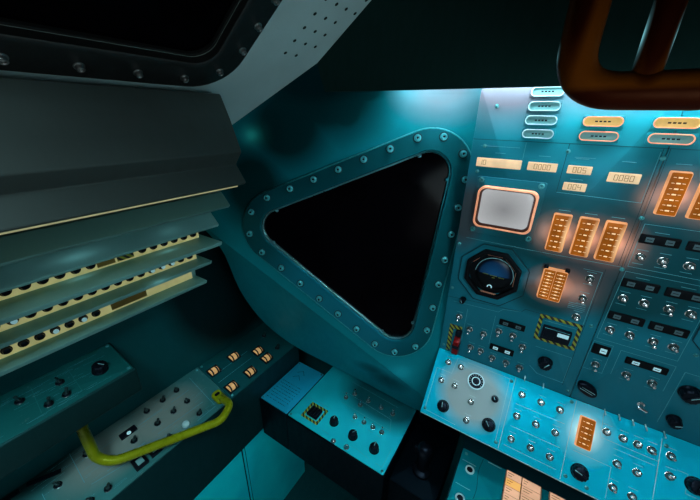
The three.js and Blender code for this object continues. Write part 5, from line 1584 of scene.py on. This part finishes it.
dress_panel("sill", SILL_FACE, SILL_TOGGLES, SILL_KNOBS, SILL_SCREWS)
piece("sill_stripes", striped_frame(-446, 532, 62, 58, 8), SILL_FACE, STRIPES)
bar_places = (-461, -450, -439)
guard_bars = cut_boxes([(x, 518, 6) for x in bar_places], [(x + 8, 546, 11) for x in bar_places], 1.0)
guard_box = joined([plate(-465, -427, 515, 549, 0, 7, 1.0, 3), guard_bars])
piece("sill_guard", guard_box, SILL_FACE, BLACK_FITTING)
SILL_FRAMES = [
    [(-400, 612), (-225, 605)], [(-420, 645), (-400, 652), (-240, 640), (-225, 600)],
    [(-415, 700), (-240, 690)], [(-505, 560), (-492, 570), (-410, 572)],
    [(-220, 500), (-200, 500), (-200, 560)], [(-395, 500), (-370, 500)],
    [(-300, 504), (-280, 506), (-240, 500)],
]
sill_lines = linked(SILL_FRAMES) + [(x - 8, 572, x + 8, 572) for x in SILL_TOGGLES[0][1]]
piece("sill_lines", strips(sill_lines, 0.8, 0.2), SILL_FACE, LINE_PALE)
mark_low, mark_high = [], []
for y in np.arange(500, 580, 11.0):
    spots = np.arange(-618, -535, 7.0)
    widths = rng.uniform(1.5, 5.5, len(spots))
    mark_low += [(x, y, 0) for x in spots]
    mark_high += [(x + w, y + 2.2, 0.3) for x, w in zip(spots, widths)]
ARROWS = [[(-600, 630), (-585, 645), (-570, 630)], [(-600, 606), (-585, 621), (-570, 606)]]
sill_marks = joined([cut_boxes(mark_low, mark_high, 0.08), strips(linked(ARROWS), 1.4, 0.3)])
piece("sill_marks", sill_marks, SILL_FACE, TEAL_DEEP)
sill_clips = cut_boxes([(-352, 483, 0), (-346, 484, 6)], [(-338, 493, 7), (-341, 492, 11)], 1.2)
piece("sill_clips", sill_clips, SILL_FACE, CHROME)
small_dial = turned([(0, 0), (8, 0), (8, 3), (7, 4), (5.6, 4), (5.2, 2.6), (0, 2.6)], 24)
piece("sill_dial", small_dial.moved([-306, 494, 0]), SILL_FACE, CHROME)

SHELF = Place([0, 0, SILL_TOP - 60], turn())
piece("shelf_top", plate(-183, -61, 521, 730, -0.2, 1.4, 0.5, 3), SHELF, SILL_SHADE_BLACK)
GRIP_PLACE = Place([-118, 590, SILL_TOP - 58.3], turn())
grip = turned([(0, 0), (26, 0), (26, 5), (22, 9), (15, 12), (12.5, 20), (14, 34), (17, 50), (19.5, 66),
               (20.5, 80), (18.5, 91), (13, 98), (6, 101), (0, 101.5)], 32, 0.02, 6)
trigger = cut_boxes([-27, -5, 58], [-17, 5, 82], 2.5)
piece("controller_grip", joined([grip, trigger]), GRIP_PLACE, BLACK_FITTING, ["hand_controller"])

# %% Side console
SIDE_WIDTH = 156.0
side_aft = plate(-SIDE_WIDTH, -1, -100, 387, -SKIN, 0, 0.8)
side_forward = plate(-SIDE_WIDTH, -1, 388, 678, -SKIN, 0, 0.8)
piece("side_sheet_aft", side_aft, SIDE, SIDE_FACE, ["side_panel_aft"])
piece("side_sheet_forward", side_forward, SIDE, TEAL_SHELL, ["side_panel_forward"])
SIDE_TOGGLES = [(29, [-105]), (54, [-28]), (89, [-127]), (85, [-25]), (167, [-81]), (223, [-28, -81, -129]),
                (265, [-81, -129]), (304, [-28, -81, -129]), (614, [-108]), (608, [-38])]
SIDE_SCREWS = [(-8, -90), (-148, -90), (-8, 380), (-148, 380), (-8, 396), (-148, 396), (-8, 670), (-148, 670)]
dress_panel("side", SIDE, SIDE_TOGGLES, (), SIDE_SCREWS, DARK_CHROME, BLACK_FITTING)
side_boxes = joined([plate(-117, -101, 150, 186, 0, 5, 0.8, 1.5), plate(-40, -11, 137, 164, 0, 7, 0.9, 1.5),
                     plate(-42, -13, 172, 196, 0, 7, 0.9, 1.5)])
piece("side_flag_boxes", side_boxes, SIDE, BLACK_FITTING)
side_flag = turned([(0, 4.6), (4.6, 4.6), (4.6, 5.5), (0, 5.6)], 20)
piece("side_flag", side_flag.moved([-105, 168, 0]), SIDE, WHITE_PAINTED_GLOW)
box_windows = cut_boxes([(-33, 144, 6.8), (-35, 178, 6.8)], [(-18, 158, 7.3), (-20, 190, 7.3)], 0.2)
piece("side_box_windows", box_windows, SIDE, PALE)
push_knob = turned([(0, 0), (9, 0), (9, 4), (7.6, 7), (5, 8.4), (0, 8.8)], 24)
piece("side_push_knob", push_knob.moved([-28, 265, 0]), SIDE, LINE_WHITE)
piece("side_dark_bars", strips([(-131, 40, -147, -2), (-147, -22, -148, -40)], 9.0, 3.0), SIDE, BLACK_FITTING)

DRUMS = np.array([(-110, 410, 0), (-110, 484, 0), (-73, 553, 0), (-32, 553, 0), (-30, 482, 0), (-30, 411, 0)])
drum = turned([(0, -14), (11, -14), (12, -13), (12.6, 0), (12, 13), (11, 14), (0, 14)], 28)
cheeks = joined([cut_boxes([-14, s * 15.5 - 1.5, -2], [14, s * 15.5 + 1.5, 7], 1.0) for s in (-1, 1)]
                + [cut_boxes([s * 15 - 1.5, -17, -2], [s * 15 + 1.5, 17, 2], 0.8) for s in (-1, 1)])
drum_band = turned([(0, -2.2), (12.0, -2.2), (12.0, 2.2), (0, 2.2)], 28)
band_places = np.vstack([DRUMS + [0, s, 0] for s in (-8, 8)])
piece("side_drums", drum.copies(DRUMS, turn(x=90) * 0.9), SIDE, DRUM)
piece("side_drum_frames", cheeks.copies(DRUMS), SIDE, BLACK_FITTING)
piece("side_drum_bands", drum_band.copies(band_places, turn(x=90)), SIDE, BLACK_FITTING)
SIDE_LINES = [
    (-154, 68, -72, 62), (-108, 200, -108, 250), (-108, 276, -108, 326), (-58, 69, -43, 145),
    (-43, 145, -23, 185), (-23, 185, -15, 235), (-56, 210, -50, 330), (-15, 290, -15, 345),
    (-140, 350, -20, 345), (-96, 396, -98, 530), (-60, 100, -60, 180), (-68, 396, -68, 520),
    (-150, -60, -120, -62), (-110, 5, -60, 2),
]
piece("side_lines", strips(SIDE_LINES, 0.9, 0.2), SIDE, LINE_PALE)


def scratches(seed, count, x_range, y_range):
    """Hair-thin pale lines, nearly along y, where gloves and straps have rubbed."""
    draw = np.random.default_rng(seed)
    x, y = draw.uniform(*x_range, count), draw.uniform(*y_range, count)
    length, drift = draw.uniform(6, 44, count), draw.normal(0, 0.05, count)
    return strips(np.column_stack([x, y, x + drift * length, y + length]), 0.35, 0.08)


piece("side_scratches", scratches(11, 80, (-150, -6), (-20, 336)), SIDE, LINE_PALE)

# %% Upper side box
box_section = round_corners([(-675, -582), (-675, -518), (-784.7, -496), (-784.7, -600)], 5)
box_body = extruded(box_section[::-1], -100, 205, along_y, 2.0)
piece("upper_case", box_body, CABIN, BOX_TEAL, ["upper_side_box"])
UPPER_SKIN = 1.6
piece("upper_sheet", plate(-108, -3, -96, 201, 0, UPPER_SKIN, 0.5, 3), UPPER, BOX_FACE)
UPPER_FACE = Place(UPPER.origin + UPPER.axes @ np.array([0, 0, UPPER_SKIN]), UPPER.axes)
UPPER_TOGGLES = [(96, [-66]), (93, [-29]), (38, [-71]), (66, [-29]), (-20, [-70, -30])]
UPPER_SCREWS = [(-9, 195), (-100, 195), (-9, -90), (-100, -90)]
dress_panel("upper", UPPER_FACE, UPPER_TOGGLES, [(-45, 157, 15, -60)], UPPER_SCREWS, DARK_CHROME,
            BLACK_FITTING)
piece("upper_scratches", scratches(12, 60, (-104, -8), (-90, 150)), UPPER_FACE, LINE_PALE)
upper_lines = strips([(-92, 60, -20, 52), (-92, 118, -20, 114), (-50, 30, -50, 110)], 0.8, 0.2)
piece("upper_lines", upper_lines, UPPER_FACE, WORN_LINE)

# %% [markdown]
# ## Grab rails
#
# Both rails are round tubes bent on a machine: straight runs joined by arcs. A bend is a
# quadratic curve between two points beside the corner, and the tube's ring is carried
# along it without twisting.


# %% Tubes
def bent_path(points, bend, steps=10):
    """Straight runs with each inner corner replaced by a quadratic curve."""
    points = np.asarray(points, float)
    path = [points[0]]
    for before, corner, after in zip(points[:-2], points[1:-1], points[2:]):
        a = corner + (before - corner) / np.linalg.norm(before - corner) * bend
        b = corner + (after - corner) / np.linalg.norm(after - corner) * bend
        t = np.linspace(0, 1, steps)[:, None]
        path.extend((1 - t) ** 2 * a + 2 * t * (1 - t) * corner + t ** 2 * b)
    path.append(points[-1])
    return np.array(path)


def tube(path, radius, sides=20):
    """A ring of points carried along a path; each frame is the last one turned onto the new tangent."""
    tangent = np.gradient(path, axis=0)
    tangent /= np.linalg.norm(tangent, axis=1, keepdims=True)
    across = np.cross(tangent[0], [0.3, 0.2, 0.9])
    normals = []
    for t in tangent:
        across = across - t * np.dot(across, t)
        across /= np.linalg.norm(across)
        normals.append(across)
    normals = np.array(normals)
    binormals = np.cross(tangent, normals)
    a = (np.arange(sides) * 2 * np.pi / sides)[None, :, None]
    return stacked(path[:, None] + radius * (np.cos(a) * normals[:, None] + np.sin(a) * binormals[:, None]))


side_path = bent_path([(-648, 366, -741), (-600, 362, -733), (-583, 318, -738), (-668, 112, -706),
                       (-694, 92, -690), (-694, 92, -588)], 18)
piece("side_rail_tube", tube(side_path, 10), CABIN, RAIL_GREEN, ["side_rail"])


def lug_outline(inset):
    """The flattened end of the rail: a bar 40 by 27 whose corners are round."""
    return round_rectangle(-29, 366, 40 - 2 * inset, 27 - 2 * inset, 9 - inset * 0.6, 6)


def slot_outline(x):
    """A slot of the lug, as a function of its inset."""
    return lambda inset: round_rectangle(x, 366, 8.5 - 2 * inset, 15 - 2 * inset, 3.5 - inset, 4)


piece("side_rail_lug", soft_plate(lug_outline, 0.2, 11, 3), SIDE, RAIL_GREEN)
# Painted shade: each slot is a black plate on the lug, not an opening.
slots = joined([soft_plate(slot_outline(x), 10.8, 11.3, 0.2) for x in (-36, -22)])
piece("side_rail_slots", slots, SIDE, BLACK_FITTING)
foot = turned([(0, 0), (12.5, 0), (12.5, 3), (11, 5), (0, 5)], 28)
piece("side_rail_foot", foot.moved([-694, 92, -591]), CABIN, RAIL_GREEN)

RAIL_Y, RAIL_LEFT, RAIL_POST, RAIL_RIGHT = 480.0, -5.0, 61.0, 150.0
RAIL_LOW, RAIL_TOP = 30.0, 239.0
loop_corners = [(RAIL_LEFT, RAIL_Y, RAIL_TOP), (RAIL_LEFT, RAIL_Y, RAIL_LOW), (RAIL_RIGHT, RAIL_Y, RAIL_LOW),
                (RAIL_RIGHT, RAIL_Y, RAIL_TOP)]
post_path = np.array([(RAIL_POST, RAIL_Y, z) for z in np.linspace(RAIL_LOW, RAIL_TOP, 8)])
rail_tubes = joined([tube(bent_path(loop_corners, 48, 16), 19, 30), tube(post_path, 13, 24)])
piece("overhead_rail_tube", rail_tubes, CABIN, RAIL_ORANGE, ["overhead_rail"])
flange = turned([(0, 0), (27, 0), (27, 5), (22, 8), (0, 8)], 32)
flanges = flange.copies([(x, RAIL_Y, RAIL_TOP - 7.5) for x in (RAIL_LEFT, RAIL_POST, RAIL_RIGHT)])
piece("overhead_rail_flanges", flanges, CABIN, RAIL_ORANGE)

# %% [markdown]
# ## Hood and breaker shelves
#
# Folded sheet covers the breaker rows: a deep hood on top, two slanted louvres and three
# flat ledges. Between the ledges stand cream bars with a row of round black breakers. The
# sections are the solid model's, with their corners eased.

# %% Hood, ledges and breaker bars
SHELF_AFT, SHELF_FORE = -100.0, 434.0
WALL_X = -775
HOOD_SECTION = [(-569, 35), (-549, -8), (-526, -69), (-547, -95), (-522, -130), (-530, -134), (-784, -134),
                (-784, -99), (-627, 18)]
hood_section = round_corners(HOOD_SECTION[::-1], 3)[::-1]
piece("hood_sheet", extruded(hood_section, SHELF_AFT, SHELF_FORE, along_y, 1.5), CABIN, SLATE, ["hood"])


def slanted(x, z):
    """The section of a louvre whose lip is at (x, z)."""
    return [(WALL_X, z + 28), (x - 26, z + 28), (x, z), (x - 7, z - 6), (x - 32, z + 19), (WALL_X, z + 19)]


def ledge(x, z):
    """The section of a flat ledge whose upper front edge is at (x, z)."""
    return [(WALL_X, z - 10), (x - 4, z - 10), (x, z), (WALL_X, z)]


sections = [slanted(-583, -187), slanted(-634, -242), ledge(-632, -284), ledge(-687, -349), ledge(-725, -418)]
folded = [extruded(round_corners(s, 2.2), SHELF_AFT, SHELF_FORE, along_y, 1.0) for s in sections]
back = cut_boxes([-784.7, SHELF_AFT, -428], [-774, SHELF_FORE, -134.3], 1.0)
piece("ledge_sheets", joined(folded + [back]), CABIN, LEDGE, ["breaker_ledges"])

button = turned([(0, 0), (6.4, 0), (6.4, 3), (5.4, 6.5), (3.6, 7.5), (0, 7.6)], 18).moved(axes=turn(y=90))
button_rim = turned([(0, 0), (8.2, 0), (8.2, 1.2), (7.4, 1.8), (0, 1.8)], 20).moved(axes=turn(y=90))
upper_spots = np.arange(54, 410, 23.4)
BREAKER_BARS = [("upper", -702, -284, -223, upper_spots[(upper_spots < 200) | (upper_spots > 276)]),
                ("middle", -730, -349, -294, np.arange(-90, 420, 23.4)),
                ("lower", -768, -418, -359, np.arange(-86, 200, 23.4))]
PALE_BREAKERS = [(-730, 74, -335), (-730, 307, -335), (-730, 331, -335), (-730, 354, -335), (-768, 124, -404),
                 (-768, 171, -404)]
# The cream strips glow, which is painted light.
for name, x, z0, z1, spots in BREAKER_BARS:
    bar = cut_boxes([x - 5, SHELF_AFT + 2, z0 + 0.3], [x, SHELF_FORE - 14, z1 - 0.3], 0.8)
    piece(f"breaker_strip_{name}", bar, CABIN, CREAM, [f"breaker_bar_{name}"])
    at = [(x, y, z0 + 14) for y in spots]
    piece(f"breakers_{name}", joined([button.copies(at), button_rim.copies(at)]), CABIN, BLACK_FITTING)
cap = turned([(0, 7.2), (4.6, 7.2), (4.6, 8.6), (0, 8.8)], 16)
piece("breaker_caps", cap.copies(PALE_BREAKERS, turn(y=90)), CABIN, WHITE_PAINTED_GLOW)
labels = cut_boxes([(-768.5, 224, -413), (-702.5, 204, -280)], [(-767, 300, -393), (-701, 235, -262)], 0.2)
piece("breaker_labels", labels, CABIN, BROWN_CARD)
text_low = np.array([(-767.2, 230 + 4 * k, -410 + 6 * row) for row in range(3) for k in range(16)])
piece("breaker_label_text", cut_boxes(text_low, text_low + [0.4, 2.6, 1.4], 0.1), CABIN, READOUT_MARK)
piece("breaker_stripes", cut_boxes([-702.5, 239, -280], [-701, 270, -264], 0.2), CABIN, STRIPES)

# %% Seams of the plinth
plinth_seams = cut_boxes([(-638.2, 392, -1440), (-638.2, 404, -1440)],
                         [(-637.4, 396, -986), (-637.4, 406, -986)], 0.1)
piece("plinth_seams", plinth_seams, CABIN, BLACK_FITTING)

# %% [markdown]
# ## The outside and the deck
#
# The section is seen from outside too. Rows of rivets run along its ribs, and the deck has
# a raised tread.

# %% Rivets and deck tread
RIVET_PITCH, TREAD_PITCH = 60, 30
rivet = turned([(0, 0), (3.4, 0), (2.8, 1.6), (0, 2.4)], 10)
wall_rivets = [(-810, y, z) for y in (-61, 121, 169, 351, 399) for z in range(-1450, -160, RIVET_PITCH)]
piece("side_wall_rivets", rivet.copies(wall_rivets, turn(y=-90)), CABIN, STEEL)
front_rivets = [(x, 825, z) for x in (-139, -91, 111, 159) for z in range(-1450, 220, RIVET_PITCH)]
piece("front_wall_rivets", rivet.copies(front_rivets, turn(x=-90)), CABIN, STEEL)
tread = [(x, y, -1480.3) for x in range(-610, -60, TREAD_PITCH) for y in range(-80, 780, TREAD_PITCH)]
bump = turned([(0, 0), (8, 0), (7, 1.2), (0, 1.6)], 10)
piece("deck_tread", bump.copies(tread), CABIN, DECK_PAINT)
